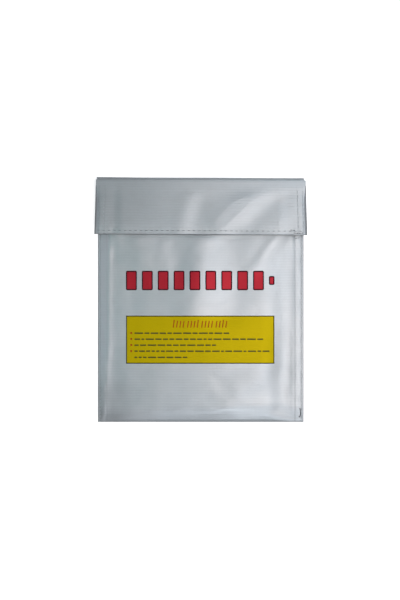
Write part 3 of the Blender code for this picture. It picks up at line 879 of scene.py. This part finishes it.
def build_flap():
    ys = np.concatenate([np.linspace(T - 1.5, FREE + 7.5, 64, endpoint=False), np.linspace(FREE + 7.5, FREE, 26)])
    u = spacing(-1.0, 1.0, 0.0045, 0.0125, 0.11)
    gy = np.broadcast_to(ys[None, :], (len(u), len(ys)))
    gx = u[:, None] * flap_half(gy)
    z = flap_z(gx, gy)
    yc = T - 1.5 - gy + (T - 1.5 + 3.0 + math.pi * R)
    z = z + rib_height(yc)
    uu = flap_half(gy) - np.abs(gx)
    te = clip01(1 - uu / 0.9)
    z = z - 1.15 * (1 - np.sqrt(np.maximum(1 - te * te, 0))) * smooth((T - gy) / 8.0)
    tf = clip01(1 - (gy - FREE) / 0.8)
    z = z - 1.0 * (1 - np.sqrt(np.maximum(1 - tf * tf, 0)))
    outer = np.stack([gx, gy, z], -1)[::-1]
    cxy = np.stack([gx, yc], -1)[::-1]
    sh = np.ones(gx.shape)
    # painted shade on the side edges and the free edge, where they roll down
    sh -= 0.28 * smooth((1.0 - uu) / 0.9)
    sh -= 0.4 * smooth((0.7 - (gy - FREE)) / 0.6)
    # painted shade in the stitch dips of the bottom and side rows
    row = 0.5 + 0.5 * np.cos(2 * math.pi * (gx + HALF_EDGE - 1.6) / 4.7)
    sh -= 0.08 * row * np.exp(-((gy - FREE - 3.4) / 0.6) ** 2)
    sh -= 0.06 * np.exp(-((uu - 8.4) / 0.4) ** 2) + 0.07 * np.exp(-((uu - 3.2) / 0.4) ** 2)
    # painted shade: darker towards the flap's left side, less so near its free edge, and the whole flap a little darker
    sh -= 0.15 * smooth((6.0 - gx) / 84.0) * (0.35 + 0.65 * smooth((gy - FREE - 2.0) / 12.0)) + 0.04
    # painted shade patches on the flap
    sh -= duller(gx, gy, FLAP_TONES)
    ob = cloth_shell("flap_cloth", outer, 0.5, cxy, np.clip(sh, 0.15, 1)[::-1])
    return give(ob, SILVER, "flap", "flap_panel", slot="coated_glass_cloth")


flap = build_flap()

# ---- plies and linings inside ---------------------------------------------------------------------------------
def under_front(xs, ys, depth):
    """Points a given depth under the front cloth's plain shape."""
    gx, gy = np.meshgrid(xs, ys, indexing="ij")
    p = np.stack([gx, gy, front_base(gx, gy)], -1)
    return p - grid_normals(p) * depth


def build_front_lining():
    xs = spacing(-CREASE + 0.8, CREASE - 0.8, 0.8, 2.4, 14.0)
    q = np.linspace(math.radians(52), math.pi / 2, 14)
    up_y = YB + 16.0 * (1 - np.cos(q))
    ys = np.concatenate([up_y, np.linspace(up_y[-1], FLN_HI[1], 90)[1:]])
    p = under_front(xs, ys, 0.95)
    n = Noise(51, 14.0, 18.0)
    p[..., 2] -= 0.10 * np.abs(n(p[..., 0], p[..., 1]))
    ob = cloth_shell("front_lining", p, 0.35, p[..., :2].copy())
    return give(ob, LINING, "pouch", "front_liner", slot="glass_cloth_lining")


def build_back_lining():
    xs = spacing(BL_LO[0], BL_HI[0], 0.8, 2.4, 4.0)
    ys = np.linspace(BL_LO[1], BL_HI[1], 110)
    gx, gy = np.meshgrid(xs, ys, indexing="ij")
    n = Noise(52, 16.0, 22.0)
    z = 1.16 + 0.08 * n(gx, gy)
    p = np.stack([gx, gy, z], -1)
    ob = cloth_shell("back_lining", p, 0.35, p[..., :2].copy())
    return give(ob, LINING, "pouch", "back_liner", slot="glass_cloth_lining")


def build_seam_ply(name, node, sx):
    """The two turned-in edges of a side seam: one folded ply, like a hairpin, between front and back."""
    lo, hi = lohi(node)
    w = hi[0] - lo[0]
    mid = (lo[2] + hi[2]) / 2
    h = (hi[2] - lo[2]) / 2
    a = np.linspace(-math.pi / 2, math.pi / 2, 9)
    line = [(0.15, mid - h), (w * 0.5, mid - h)] + \
        [(w - h - 0.1 + h * math.cos(k), mid + h * math.sin(k)) for k in a] + \
        [(w * 0.5, mid + h), (0.5, mid + h)]
    ys = np.linspace(lo[1], hi[1], 120)
    px = np.array([p[0] for p in line])
    pz = np.array([p[1] for p in line])
    n = Noise(53 + sx, 5.0, 9.0)
    gy = np.broadcast_to(ys[None, :], (len(px), len(ys)))
    wav = 0.12 * n(px[:, None] * 0 + 3.0, gy) * (px[:, None] / w < 0.2)
    xx = (px[:, None] + wav)
    x = (lo[0] + xx) if sx > 0 else (hi[0] - xx)
    p = np.stack([x, gy, pz[:, None] + lift(x, gy) - 0.05], -1)
    s = np.concatenate([[0], np.cumsum(np.hypot(np.diff(px), np.diff(pz)))])
    c = np.stack([np.broadcast_to(s[:, None], gy.shape), gy], -1)
    if sx < 0:
        p, c = p[::-1], c[::-1]
    ob = cloth_shell(name, p[::-1], 0.45, c[::-1])
    return give(ob, SILVER, "pouch", node, slot="coated_glass_cloth")


def build_mouth_hem():
    xs = spacing(-CREASE + 1.2, CREASE - 1.2, 0.8, 2.2, 14.0)
    ys = np.concatenate([np.linspace(MH_LO[1], MOUTH - 1.2, 16, endpoint=False), np.linspace(MOUTH - 1.2, MOUTH - 0.1, 8)])
    gx, gy = np.meshgrid(xs, ys, indexing="ij")
    z = front_base(gx, gy) - 0.88
    t = clip01((gy - (MOUTH - 0.9)) / 0.8)
    z = z + 0.25 * (1 - np.sqrt(1 - t * t))
    p = np.stack([gx, gy, z], -1)
    ob = cloth_shell("mouth_hem_cloth", p, 0.42, p[..., :2].copy())
    return give(ob, SILVER, "pouch", "mouth_hem", slot="coated_glass_cloth")


front_lining = build_front_lining()
back_lining = build_back_lining()
left_ply = build_seam_ply("left_seam_ply", "left_seam_allowance", -1)
right_ply = build_seam_ply("right_seam_ply", "right_seam_allowance", 1)
mouth_hem = build_mouth_hem()


def build_flap_hem(name, node, sx):
    us = np.concatenate([np.linspace(0.35, 1.6, 5, endpoint=False), np.linspace(1.6, 8.3, 14)])
    ys = np.linspace(T - 1.2, FREE + 0.35, 60)
    gy = np.broadcast_to(ys[None, :], (len(us), len(ys)))
    gu = np.broadcast_to(us[:, None], gy.shape)
    n = Noise(57 + sx, 4.0, 7.0)
    gx = sx * (flap_half(gy) - gu + 0.10 * n(gu * 0, gy) * (gu > 7))
    z = flap_z(gx, gy) - 0.5 - 0.32 - 0.9 * (clip01(1 - gu / 1.2) ** 2) * smooth((T - gy) / 8)
    z = np.minimum(z, ZF - 0.95)
    p = np.stack([gx, gy, z], -1)
    c = np.stack([gx, gy], -1)
    if sx > 0:
        ob = cloth_shell(name, p, 0.4, c)
    else:
        ob = cloth_shell(name, p[::-1], 0.4, c[::-1])
    return give(ob, SILVER, "flap", node, slot="coated_glass_cloth")


def build_flap_bottom_hem():
    lo, hi = lohi("flap_bottom_hem")
    xs = spacing(lo[0], hi[0], 0.6, 1.6, 3.0)
    ys = np.linspace(hi[1], lo[1], 16)
    gx, gy = np.meshgrid(xs, ys, indexing="ij")
    n = Noise(59, 6.0, 6.0)
    z = np.minimum(flap_z(gx, gy) - 0.5 - 0.30, ZF - 0.9) + 0.04 * n(gx, gy)
    p = np.stack([gx, gy, z], -1)
    ob = cloth_shell("flap_bottom_hem_cloth", p[::-1], 0.42, p[..., :2][::-1].copy())
    return give(ob, SILVER, "flap", "flap_bottom_hem", slot="coated_glass_cloth")


flap_hems = [build_flap_hem("flap_left_hem_cloth", "flap_left_hem", -1),
             build_flap_hem("flap_right_hem_cloth", "flap_right_hem", 1),
             build_flap_bottom_hem()]


# ---- hook and loop tapes -------------------------------------------------------------------------------------
def tubes(paths, radius, sides=3):
    """Vertices and quads of many thin tubes, each a list of points."""
    verts, quads, tris = [], [], []
    base = 0
    for path in paths:
        p = np.asarray(path, float)
        t = np.gradient(p, axis=0)
        t /= np.linalg.norm(t, axis=1, keepdims=True)
        ref = np.array([0.31, 0.87, 0.38])
        a = np.cross(t, ref)
        a /= np.linalg.norm(a, axis=1, keepdims=True)
        b = np.cross(t, a)
        k = np.arange(sides) * 2 * math.pi / sides
        ring = p[:, None, :] + radius * (np.cos(k)[None, :, None] * a[:, None, :] + np.sin(k)[None, :, None] * b[:, None, :])
        n = len(p)
        verts.append(ring.reshape(-1, 3))
        for i in range(n - 1):
            for j in range(sides):
                j2 = (j + 1) % sides
                quads.append((base + i * sides + j, base + i * sides + j2, base + (i + 1) * sides + j2, base + (i + 1) * sides + j))
        if sides == 3:
            tris.append((base + 2, base + 1, base))
            e = base + (n - 1) * sides
            tris.append((e, e + 1, e + 2))
        base += n * sides
    return np.concatenate(verts), quads, tris


def slab(x0, x1, y0, y1, z_of, thick, nx, ny, seed):
    """A woven strip with slightly uneven edges, its face at z_of."""
    n = Noise(seed, 1.6, 1.6)
    u = np.linspace(0, 1, nx)
    v = np.linspace(0, 1, ny)
    gu, gv = np.meshgrid(u, v, indexing="ij")
    gx = x0 + (x1 - x0) * gu
    gy = y0 + (y1 - y0) * gv
    edge = (gv < 0.001) | (gv > 0.999)
    gy = gy + 0.10 * n(gx, gy) * edge
    z = z_of(gx, gy)
    return np.stack([gx, gy, z], -1), thick


def build_hook_tape():
    r = np.random.default_rng(61)
    z0 = HT_LO[2]
    p, th = slab(HT_LO[0], HT_HI[0], HT_LO[1], HT_HI[1],
                 lambda x, y: z0 + 0.46 + 0.03 * np.cos(x * 2 * math.pi / 1.1) * np.cos(y * 2 * math.pi / 0.9), 0.4, 150, 24, 62)
    base = cloth_shell("hook_tape_weave", p, th, p[..., :2].copy())
    give(base, HOOK_M, "pouch", "hook_tape", slot="hook_tape_nylon")
    paths = []
    top = HT_HI[2]
    for i, x in enumerate(np.arange(HT_LO[0] + 1.0, HT_HI[0] - 0.8, 1.55)):
        for j, y in enumerate(np.arange(HT_LO[1] + 2.2, HT_HI[1] - 2.0, 1.15)):
            s = 1 if (j % 2) else -1
            x1 = x + r.uniform(-0.12, 0.12) + (0.4 if j % 2 else 0.0)
            y1 = y + r.uniform(-0.08, 0.08)
            h = top - z0 - 0.46 - 0.12 - r.uniform(0, 0.08)
            b = z0 + 0.42
            paths.append([(x1, y1, b), (x1 + 0.02 * s, y1, b + 0.55 * h), (x1 + 0.14 * s, y1, b + 0.93 * h),
                          (x1 + 0.34 * s, y1, b + h), (x1 + 0.50 * s, y1, b + 0.80 * h), (x1 + 0.50 * s, y1, b + 0.60 * h)])
    v, q, t = tubes(paths, 0.09)
    hooks = make("hook_tape_hooks", v, q, t)
    hooks.data.materials.append(HOOK_M)
    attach(hooks, "pouch")


def build_loop_tape():
    r = np.random.default_rng(63)
    zt = LT_HI[2]
    n = Noise(64, 0.9, 0.9)
    n2 = Noise(65, 3.0, 3.0)
    y0, y1 = LT_LO[1], LT_HI[1]

    def face(x, y):
        field = smooth((y - y0 - 1.7) / 0.8) * smooth((y1 - 1.7 - y) / 0.8) * smooth((72.0 - np.abs(x)) / 1.0)
        return zt + tape_wave(x, y) - 0.5 - field * (0.55 + 0.22 * n(x, y) + 0.14 * n2(x, y))
    xs = np.linspace(LT_LO[0], LT_HI[0], 230)
    ys = np.linspace(y0, y1, 40)
    gx, gy = np.meshgrid(xs, ys, indexing="ij")
    p = np.stack([gx, gy, face(gx, gy)], -1)[::-1]
    back_of = p.copy()
    back_of[..., 2] = zt - 0.06 + tape_wave(back_of[..., 0], back_of[..., 1])
    base = cloth_shell("loop_tape_pile", p, 0.4, p[..., :2].copy(), inner=back_of)
    give(base, LOOP_M, "flap", "loop_tape", slot="loop_tape_nylon")
    paths = []
    for _ in range(1500):
        x, y = r.uniform(LT_LO[0] + 1.5, LT_HI[0] - 1.5), r.uniform(y0 + 2.4, y1 - 2.4)
        a = r.uniform(0, math.pi)
        w, h = r.uniform(0.35, 0.7), r.uniform(0.2, 0.42)
        z = float(face(np.array([x]), np.array([y]))[0])
        z = max(z, LT_LO[2] + h + 0.05)
        paths.append([(x + w * math.cos(a) * c, y + w * math.sin(a) * c, z + 0.05 - h * (1 - c * c)) for c in (-1, -0.5, 0, 0.5, 1)])
    v, q, t = tubes(paths, 0.05)
    loops = make("loop_tape_loops", v, q, t)
    loops.data.materials.append(LOOP_M)
    askew(loops)
    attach(loops, "flap")


build_hook_tape()
build_loop_tape()


# ---- stitches -------------------------------------------------------------------------------------------------
def stitch_mesh(name, places, mat, body, nodes, width=0.5, height=0.32, sides=8, rings=9):
    """Separate two-ply stitches; places are (middle, along, up, length)."""
    verts, quads, tris = [], [], []
    base = 0
    tt = np.linspace(-1, 1, rings)
    k = np.arange(sides) * 2 * math.pi / sides
    for mid, along, up, length in places:
        mid, along, up = (np.asarray(v, float) for v in (mid, along, up))
        along = along / np.linalg.norm(along)
        up = up - along * np.dot(up, along)
        up /= np.linalg.norm(up)
        side = np.cross(along, up)
        for q in tt:
            c = mid + along * (q * length / 2) + up * (height * 0.42 * (1 - q * q) - height * 0.20 * q ** 4)
            w = math.sqrt(max(1 - q ** 6, 0.06))
            ply = 1 + 0.16 * np.cos(2 * (k - 5.0 * q))
            ring = c + (np.cos(k) * ply * width / 2 * w)[:, None] * side + (np.sin(k) * ply * height / 2 * w)[:, None] * up
            verts.append(ring)
        for i in range(rings - 1):
            for j in range(sides):
                j2 = (j + 1) % sides
                a = base + i * sides
                quads.append((a + j, a + j2, a + sides + j2, a + sides + j))
        for j in range(1, sides - 1):
            tris.append((base, base + j + 1, base + j))
            e = base + (rings - 1) * sides
            tris.append((e, e + j, e + j + 1))
        base += rings * sides
    ob = make(name, np.concatenate(verts), quads, tris)
    return give(ob, mat, body, *nodes, slot="sewing_thread")


def normal_of(f, x, y, e=0.25):
    fx = (f(np.array([x + e]), np.array([y])) - f(np.array([x - e]), np.array([y])))[0] / (2 * e)
    fy = (f(np.array([x]), np.array([y + e])) - f(np.array([x]), np.array([y - e])))[0] / (2 * e)
    n = np.array([-fx, -fy, 1.0])
    return n / np.linalg.norm(n)


def row_on(f, pts, pitch, lift=0.05, part=0.80, seed=0):
    """Stitches along a line of points (x, y) on the surface z = f(x, y)."""
    r = np.random.default_rng(seed)
    pts = np.asarray(pts, float)
    seg = np.hypot(*np.diff(pts, axis=0).T)
    s = np.concatenate([[0], np.cumsum(seg)])
    count = int(s[-1] / pitch)
    out = []
    for k in range(count):
        a, b = k * pitch, (k + 1) * pitch
        a, b = a + pitch * (1 - part) / 2, b - pitch * (1 - part) / 2
        xa, ya = np.interp(a, s, pts[:, 0]), np.interp(a, s, pts[:, 1])
        xb, yb = np.interp(b, s, pts[:, 0]), np.interp(b, s, pts[:, 1])
        j = r.uniform(-0.07, 0.07, 2)
        za, zb = f(np.array([xa]), np.array([ya]))[0], f(np.array([xb]), np.array([yb]))[0]
        xm, ym = (xa + xb) / 2, (ya + yb) / 2
        n = normal_of(f, xm, ym)
        zm = max((za + zb) / 2, f(np.array([xm]), np.array([ym]))[0])
        mid = np.array([xm + j[0], ym + j[1], zm]) + n * lift
        out.append((mid, np.array([xb - xa, yb - ya, zb - za]), n, math.hypot(xb - xa, yb - ya)))
    return out


def seam_y():
    return SEAM_T_LO[1], SEAM_T_HI[1]


ya, yb = seam_y()
for side, sx in (("left", -1), ("right", 1)):
    x = sx * (XB - 2.1)
    stitch_mesh(side + "_seam_stitches", row_on(front_z, [(x, ya), (x, yb)], 3.4, 0.03, 0.74, 71 + sx),
                THREAD_MID if sx > 0 else THREAD_PALE, "pouch", [side + "_seam_thread"], 0.44, 0.28)

tape_top = lambda x, y: 0 * x + HT_LO[2] + 0.5
for which, node in (("lower", "hook_tape_lower_thread"), ("upper", "hook_tape_upper_thread")):
    lo, hi = lohi(node)
    y = (lo[1] + hi[1]) / 2
    stitch_mesh("hook_tape_%s_stitches" % which, row_on(tape_top, [(lo[0], y), (hi[0], y)], 4.0, 0.02, 0.8, 81),
                THREAD, "pouch", [node])
for which, node in (("lower", "loop_tape_lower_thread"), ("upper", "loop_tape_upper_thread")):
    lo, hi = lohi(node)
    y = (lo[1] + hi[1]) / 2
    places = [((m[0], m[1], LT_HI[2] - 0.56 + float(tape_wave(m[0], m[1]))), al, (0, 0, -1), ln)
              for m, al, n, ln in row_on(tape_top, [(lo[0], y), (hi[0], y)], 4.0, 0.0, 0.8, 83)]
    stitch_mesh("loop_tape_%s_stitches" % which, places, THREAD, "flap", [node])
lo, hi = lohi("mouth_hem_thread")
ym = (lo[1] + hi[1]) / 2
stitch_mesh("mouth_hem_stitches", row_on(front_z, [(lo[0], ym), (hi[0], ym)], 4.0, 0.04, 0.8, 85),
            THREAD_LIGHT, "pouch", ["mouth_hem_thread"])

lo, hi = lohi("flap_bottom_thread")
stitch_mesh("flap_bottom_stitches",
            row_on(flap_z, [(-HALF_EDGE + 1.6, FREE + 3.4), (HALF_EDGE - 1.6, FREE + 3.4)], 4.7, 0.0, 0.52, 87),
            THREAD_MID, "flap", ["flap_bottom_thread"], 0.48, 0.28)
for side, sx in (("left", -1), ("right", 1)):
    for which, u in (("outer", 3.2), ("inner", 7.8)):
        node = "flap_%s_%s_thread" % (side, which)
        lo, hi = lohi(node)
        yy = np.linspace(lo[1], hi[1], 30)
        pts = [(sx * (float(flap_half(v)) - u), v) for v in yy]
        stitch_mesh("flap_%s_%s_stitches" % (side, which), row_on(flap_z, pts, 3.8, 0.0, 0.74, 89 + int(u)),
                    THREAD_PALE, "flap", [node], 0.40, 0.24)

lo, hi = lohi("flap_corner_backtack")
stitch_mesh("flap_corner_lockstitches",
            row_on(flap_z, [(lo[0], FREE + 1.75), (lo[0] + 3, FREE + 1.5), (hi[0] - 0.6, FREE + 1.9)], 2.3, 0.03, 0.9, 95) +
            row_on(flap_z, [(lo[0] - 3.0, FREE + 4.5), (lo[0] + 2.0, FREE + 4.2)], 2.3, 0.03, 0.9, 96),
            THREAD, "flap", ["flap_corner_backtack"], 0.55, 0.32)
lo, hi = lohi("right_mouth_backtack")
stitch_mesh("right_mouth_lockstitches",
            row_on(front_z, [(lo[0], FREE - 3.2), (hi[0], FREE - 2.7)], 2.2, 0.04, 0.85, 97),
            THREAD, "pouch", ["right_mouth_backtack"], 0.42, 0.28)

# loose thread end at the lower right corner
lo, hi = lohi("corner_thread_tail")
cx, cy = (lo[0] + hi[0]) / 2 + 0.9, (lo[1] + hi[1]) / 2 - 2.0
path = []
for k in range(25):
    a = math.radians(72.0 - 190.0 * k / 24)
    px, py = cx + 1.0 * math.cos(a), cy + 4.0 * math.sin(a)
    pz = float(front_z(np.array([px]), np.array([py]))[0]) + 0.24 + 0.16 * math.sin(math.pi * k / 24)
    path.append((px, py, pz))
v, q, t = tubes([path], 0.34, 8)
n_ring = len(path)
caps = [(0, j + 1, j) for j in range(1, 7)] + [((n_ring - 1) * 8, (n_ring - 1) * 8 + j, (n_ring - 1) * 8 + j + 1) for j in range(1, 7)]
give(make("corner_thread_end", v, q, caps), THREAD, "pouch", "corner_thread_tail", slot="sewing_thread")


# ---- printed films ------------------------------------------------------------------------------------------
def print_surface(x, y):
    yc = y_cloth(x, y)
    return front_z(x, y) + rib_height(yc)


def y_cloth(x, y):
    """Flat length along the cloth, close enough where it lies nearly level."""
    return CLOTH_Y(x, y)


def rounded(cx, cy, w, h, r, n=6):
    pts = []
    for qx, qy, a0 in ((1, 1, 0), (-1, 1, 90), (-1, -1, 180), (1, -1, 270)):
        for k in range(n + 1):
            a = math.radians(a0 + 90.0 * k / n)
            pts.append((cx + qx * (w / 2 - r) + r * math.cos(a), cy + qy * (h / 2 - r) + r * math.sin(a)))
    return np.array(pts)


def dense(outline, step=0.8):
    out = []
    for a, b in zip(outline, np.roll(outline, -1, axis=0)):
        n = max(1, int(math.hypot(*(b - a)) / step))
        for k in range(n):
            out.append(a + (b - a) * k / n)
    return np.array(out)


def plate(outlines, low, high, rings=10):
    """Thin printed shapes lying on the cloth, each convex outline filled with shrinking copies of itself."""
    verts, quads, tris = [], [], []
    base = 0
    for o in outlines:
        o = dense(o)
        c = o.mean(0)
        n = len(o)
        nr = max(3, int(max(np.ptp(o[:, 0]), np.ptp(o[:, 1])) / 2 / 0.45))
        f = np.linspace(1, 0.04, nr)
        pts = np.concatenate([c + (o - c) * k for k in f])
        z = print_surface(pts[:, 0], pts[:, 1])
        top = np.column_stack([pts, z + high])
        bot = np.column_stack([pts, z + low])
        verts += [top, bot]
        m = len(pts)
        for r in range(nr - 1):
            for j in range(n):
                j2 = (j + 1) % n
                a, b = base + r * n, base + (r + 1) * n
                quads.append((a + j, a + j2, b + j2, b + j))
                quads.append((m + a + j2, m + a + j, m + b + j, m + b + j2))
        for j in range(n):
            j2 = (j + 1) % n
            quads.append((base + j2, base + j, base + m + j, base + m + j2))
        e = base + (nr - 1) * n
        for j in range(1, n - 1):
            tris.append((e, e + j, e + j + 1))
            tris.append((m + e, m + e + j + 1, m + e + j))
        base += 2 * m
    return np.concatenate(verts), quads, tris


def printed(name, outlines, low, high, mat, body="pouch", nodes=(), slot=None):
    v, q, t = plate(outlines, low, high)
    return give(make(name, v, q, t, smooth_shade=True), mat, body, *nodes, slot=slot)


def build_gauge():
    """A plain row of charge bars with a short end cap: red ink with a dark outline."""
    x0, x1 = GP_LO[0], GP_HI[0]
    y0, y1 = GP_LO[1], GP_HI[1]
    cap = 5.0
    gap = 4.4
    n = 9
    w = (x1 - x0 - cap - gap * n) / n
    cy = (y0 + y1) / 2
    h = y1 - y0
    blocks = [(x0 + w / 2 + k * (w + gap), w, h) for k in range(n)] + [(x1 - cap / 2, cap, h * 0.46)]
    v, q = frames([(rounded(c, cy, bw, bh, 1.3), rounded(c, cy, bw - 2.1, bh - 2.1, 0.35)) for c, bw, bh in blocks], -0.06, 0.06)
    give(make("gauge_outline", v, q), INK_DARK, "pouch", "gauge_print", slot="print_film_red")
    printed("gauge_bars", [rounded(c, cy, bw - 1.9, bh - 1.9, 0.45) for c, bw, bh in blocks], -0.06, 0.045, INK_RED,
            "pouch", (), "print_film_red")


def build_notice():
    """A yellow panel with a thin border and rows of plain dashes."""
    x0, x1 = NP_LO[0], NP_HI[0]
    y0, y1 = NP_LO[1], NP_HI[1]
    cx, cy = (x0 + x1) / 2, (y0 + y1) / 2
    n1, n2 = 110, 90
    gx, gy = np.meshgrid(np.linspace(x0, x1, n1), np.linspace(y0, y1, n2), indexing="ij")
    gz = print_surface(gx, gy) + 0.035
    film = cloth_shell("notice_film", np.stack([gx, gy, gz], -1), 0.14, np.stack([gx, gy], -1))
    give(film, INK_YELLOW, "pouch", "notice_print", slot="print_film_yellow")
    b = 0.9
    sides = [(cx, y1 - b / 2, x1 - x0, b), (cx, y0 + b / 2, x1 - x0, b),
             (x0 + b / 2, cy, b, y1 - y0 - 2 * b), (x1 - b / 2, cy, b, y1 - y0 - 2 * b)]
    strips = []
    for sx, sy, w, h in sides:
        strips.append(np.array([(sx + w / 2, sy + h / 2), (sx - w / 2, sy + h / 2), (sx - w / 2, sy - h / 2), (sx + w / 2, sy - h / 2)]))
    v, q = ribbon(strips, 0.075)
    give(make("notice_border", v, q), INK_OLIVE, "pouch", slot="print_film_yellow")
    px = lambda c: (c - 200.6) * 0.886
    py = lambda c: (299.9 - c) * 0.886
    r = np.random.default_rng(101)
    # heading: a run of even slanted strokes
    head = []
    x = px(172.5)
    k = 0
    while x < px(228.5):
        hgt = 6.0 if k % 7 else 6.8
        yb = py(327.6)
        head.append(np.array([(x + 1.9, yb + hgt), (x + 0.9, yb + hgt), (x, yb), (x + 1.0, yb)]))
        x += 2.9 if k % 4 != 3 else 3.9
        k += 1
    printed("notice_heading", head, -0.02, 0.085, INK_ORANGE, "pouch", (), "print_film_yellow")
    dots = [rounded(px(131.0), py(c), 1.9, 1.9, 0.9) for c in (333.0, 339.0, 345.0, 351.0)]
    printed("notice_bullets", dots, -0.02, 0.085, INK_ORANGE, "pouch", (), "print_film_yellow")
    dash = []
    for c, end in ((333.2, 229), (339.2, 263), (345.2, 216), (351.2, 271.5), (357.4, 189)):
        x, stop = px(134.2), px(end)
        while x < stop - 1.5:
            w = min(r.uniform(2.4, 8.0), stop - x)
            yy = py(c)
            dash.append(rounded(x + w / 2, yy, w, 1.30, 0.45, 3))
            x += w + 1.15
    printed("notice_dashes", dash, -0.02, 0.085, INK_GREY_OLIVE, "pouch", (), "print_film_yellow")


def frames(pairs, low, high):
    """Thin printed outlines, each between an outer line and an inner one with as many points."""
    verts, quads = [], []
    base = 0
    for o, i in pairs:
        o2, i2 = [], []
        n = len(o)
        for k in range(n):
            a, b, c, d = o[k], o[(k + 1) % n], i[k], i[(k + 1) % n]
            m = max(1, int(math.hypot(*(b - a)) / 0.5))
            for j in range(m):
                o2.append(a + (b - a) * j / m)
                i2.append(c + (d - c) * j / m)
        n = len(o2)
        loops = []
        for pts in (np.array(o2), np.array(i2)):
            z = print_surface(pts[:, 0], pts[:, 1])
            loops += [np.column_stack([pts, z + high]), np.column_stack([pts, z + low])]
        verts += loops
        ot, ob_, it, ib = (base + k * n for k in range(4))
        for j in range(n):
            j2 = (j + 1) % n
            quads.append((ot + j, ot + j2, it + j2, it + j))
            quads.append((ob_ + j2, ob_ + j, ib + j, ib + j2))
            quads.append((ot + j2, ot + j, ob_ + j, ob_ + j2))
            quads.append((it + j, it + j2, ib + j2, ib + j))
        base += 4 * n
    return np.concatenate(verts), quads


def ribbon(strips, high):
    """Straight printed strips of four corners each, cut fine along their length."""
    verts, quads = [], []
    base = 0
    for s in strips:
        a, b, c, d = s
        long_x = np.linalg.norm(b - a) > np.linalg.norm(c - b)
        if not long_x:
            a, b, c, d = b, c, d, a
        n = max(2, int(np.linalg.norm(b - a) / 0.8))
        t = np.linspace(0, 1, n + 1)[:, None]
        e1 = a + (b - a) * t
        e2 = d + (c - d) * t
        top = [np.column_stack([e, print_surface(e[:, 0], e[:, 1]) + high]) for e in (e1, e2)]
        bot = [np.column_stack([e, print_surface(e[:, 0], e[:, 1]) - 0.06]) for e in (e1, e2)]
        verts += [top[0], top[1], bot[0], bot[1]]
        m = n + 1
        for i in range(n):
            quads.append((base + i, base + i + 1, base + m + i + 1, base + m + i))
            quads.append((base + 2 * m + i + 1, base + 2 * m + i, base + 3 * m + i, base + 3 * m + i + 1))
            quads.append((base + i + 1, base + i, base + 2 * m + i, base + 2 * m + i + 1))
            quads.append((base + m + i, base + m + i + 1, base + 3 * m + i + 1, base + 3 * m + i))
        for i in (0, n):
            f = (base + i, base + m + i, base + 3 * m + i, base + 2 * m + i)
            quads.append(f if i == 0 else f[::-1])
        base += 4 * m
    return np.concatenate(verts), quads


build_gauge()
build_notice()


# ---- stage, light, camera ----------------------------------------------------------------------------------
PX = 0.886


def build_stage():
    s = 4000.0
    ob = make("floor", [(-s, -s, -0.4), (s, -s, -0.4), (s, s, -0.4), (-s, s, -0.4)], [(0, 1, 2, 3)], smooth_shade=False)
    t = Nodes("floor_white")
    t.p.inputs["Base Color"].default_value = (0.93, 0.93, 0.93, 1)
    t.p.inputs["Roughness"].default_value = 0.9
    t.p.inputs["Emission Color"].default_value = (1, 1, 1, 1)
    t.p.inputs["Emission Strength"].default_value = 0.75
    ob.data.materials.append(t.mat)
    ob.visible_glossy = False


build_stage()


def area(name, loc, look, size, power, colour=(1, 1, 1), size_y=None):
    d = bpy.data.lights.new(name, "AREA")
    d.energy = power
    d.color = colour
    d.size = size
    if size_y:
        d.shape = "RECTANGLE"
        d.size_y = size_y
    o = bpy.data.objects.new(name, d)
    o.location = loc
    o.rotation_euler = (Vector(look) - Vector(loc)).to_track_quat("-Z", "Y").to_euler()
    bpy.context.scene.collection.objects.link(o)
    return o


area("key", (0.14, -0.03, 0.9), (0, 0, 0), 0.26, 1.14, (1.0, 0.90, 0.87))
area("front", (0.1, -0.5, 0.75), (0, 0, 0), 0.34, 1.165, (0.94, 0.955, 1.0))
area("front_right", (0.3, -0.35, 0.75), (0, 0, 0), 0.32, 0.345, (0.88, 0.92, 1.0))
area("top_right", (0.3, 0.3, 0.75), (0, 0, 0), 0.32, 0.965, (0.81, 0.915, 1.0))
area("left", (-0.6, 0.0, 0.66), (0, 0, 0), 0.36, 0.425, (0.95, 0.90, 1.0))
area("near", (0.22, -0.06, 0.36), (0, 0, 0), 0.16, 0.15, (1.0, 0.95, 0.94))
area("upper_left", (-0.33, 0.0, 0.85), (0, 0, 0), 0.3, 0.26, (0.45, 1.0, 0.95))

area("rim_top", (0.05, 0.95, 0.42), (0, 0.08, 0), 0.5, 0.8, (0.92, 0.96, 1.0))
area("rim_low", (0.05, -0.95, 0.40), (0, -0.08, 0), 0.5, 0.5, (0.92, 0.96, 1.0))

w = bpy.data.worlds.new("studio")
bpy.context.scene.world = w
w.use_nodes = True
w.node_tree.nodes["Background"].inputs[0].default_value = (0.92, 0.95, 1.0, 1)
w.node_tree.nodes["Background"].inputs[1].default_value = 0.05

cam = bpy.data.cameras.new("camera")
cam.lens = 120.0
cam.sensor_width = 36.0
cam.clip_start, cam.clip_end = 0.05, 20.0
co = bpy.data.objects.new("camera", cam)
co.location = (-0.8 * PX * MM, -0.1 * PX * MM, 0.008 + 600 * PX * MM * 120.0 / 36.0)
co.rotation_euler = (0, 0, 0)
bpy.context.scene.collection.objects.link(co)
bpy.context.scene.camera = co
bpy.context.scene.view_settings.view_transform = "Standard"
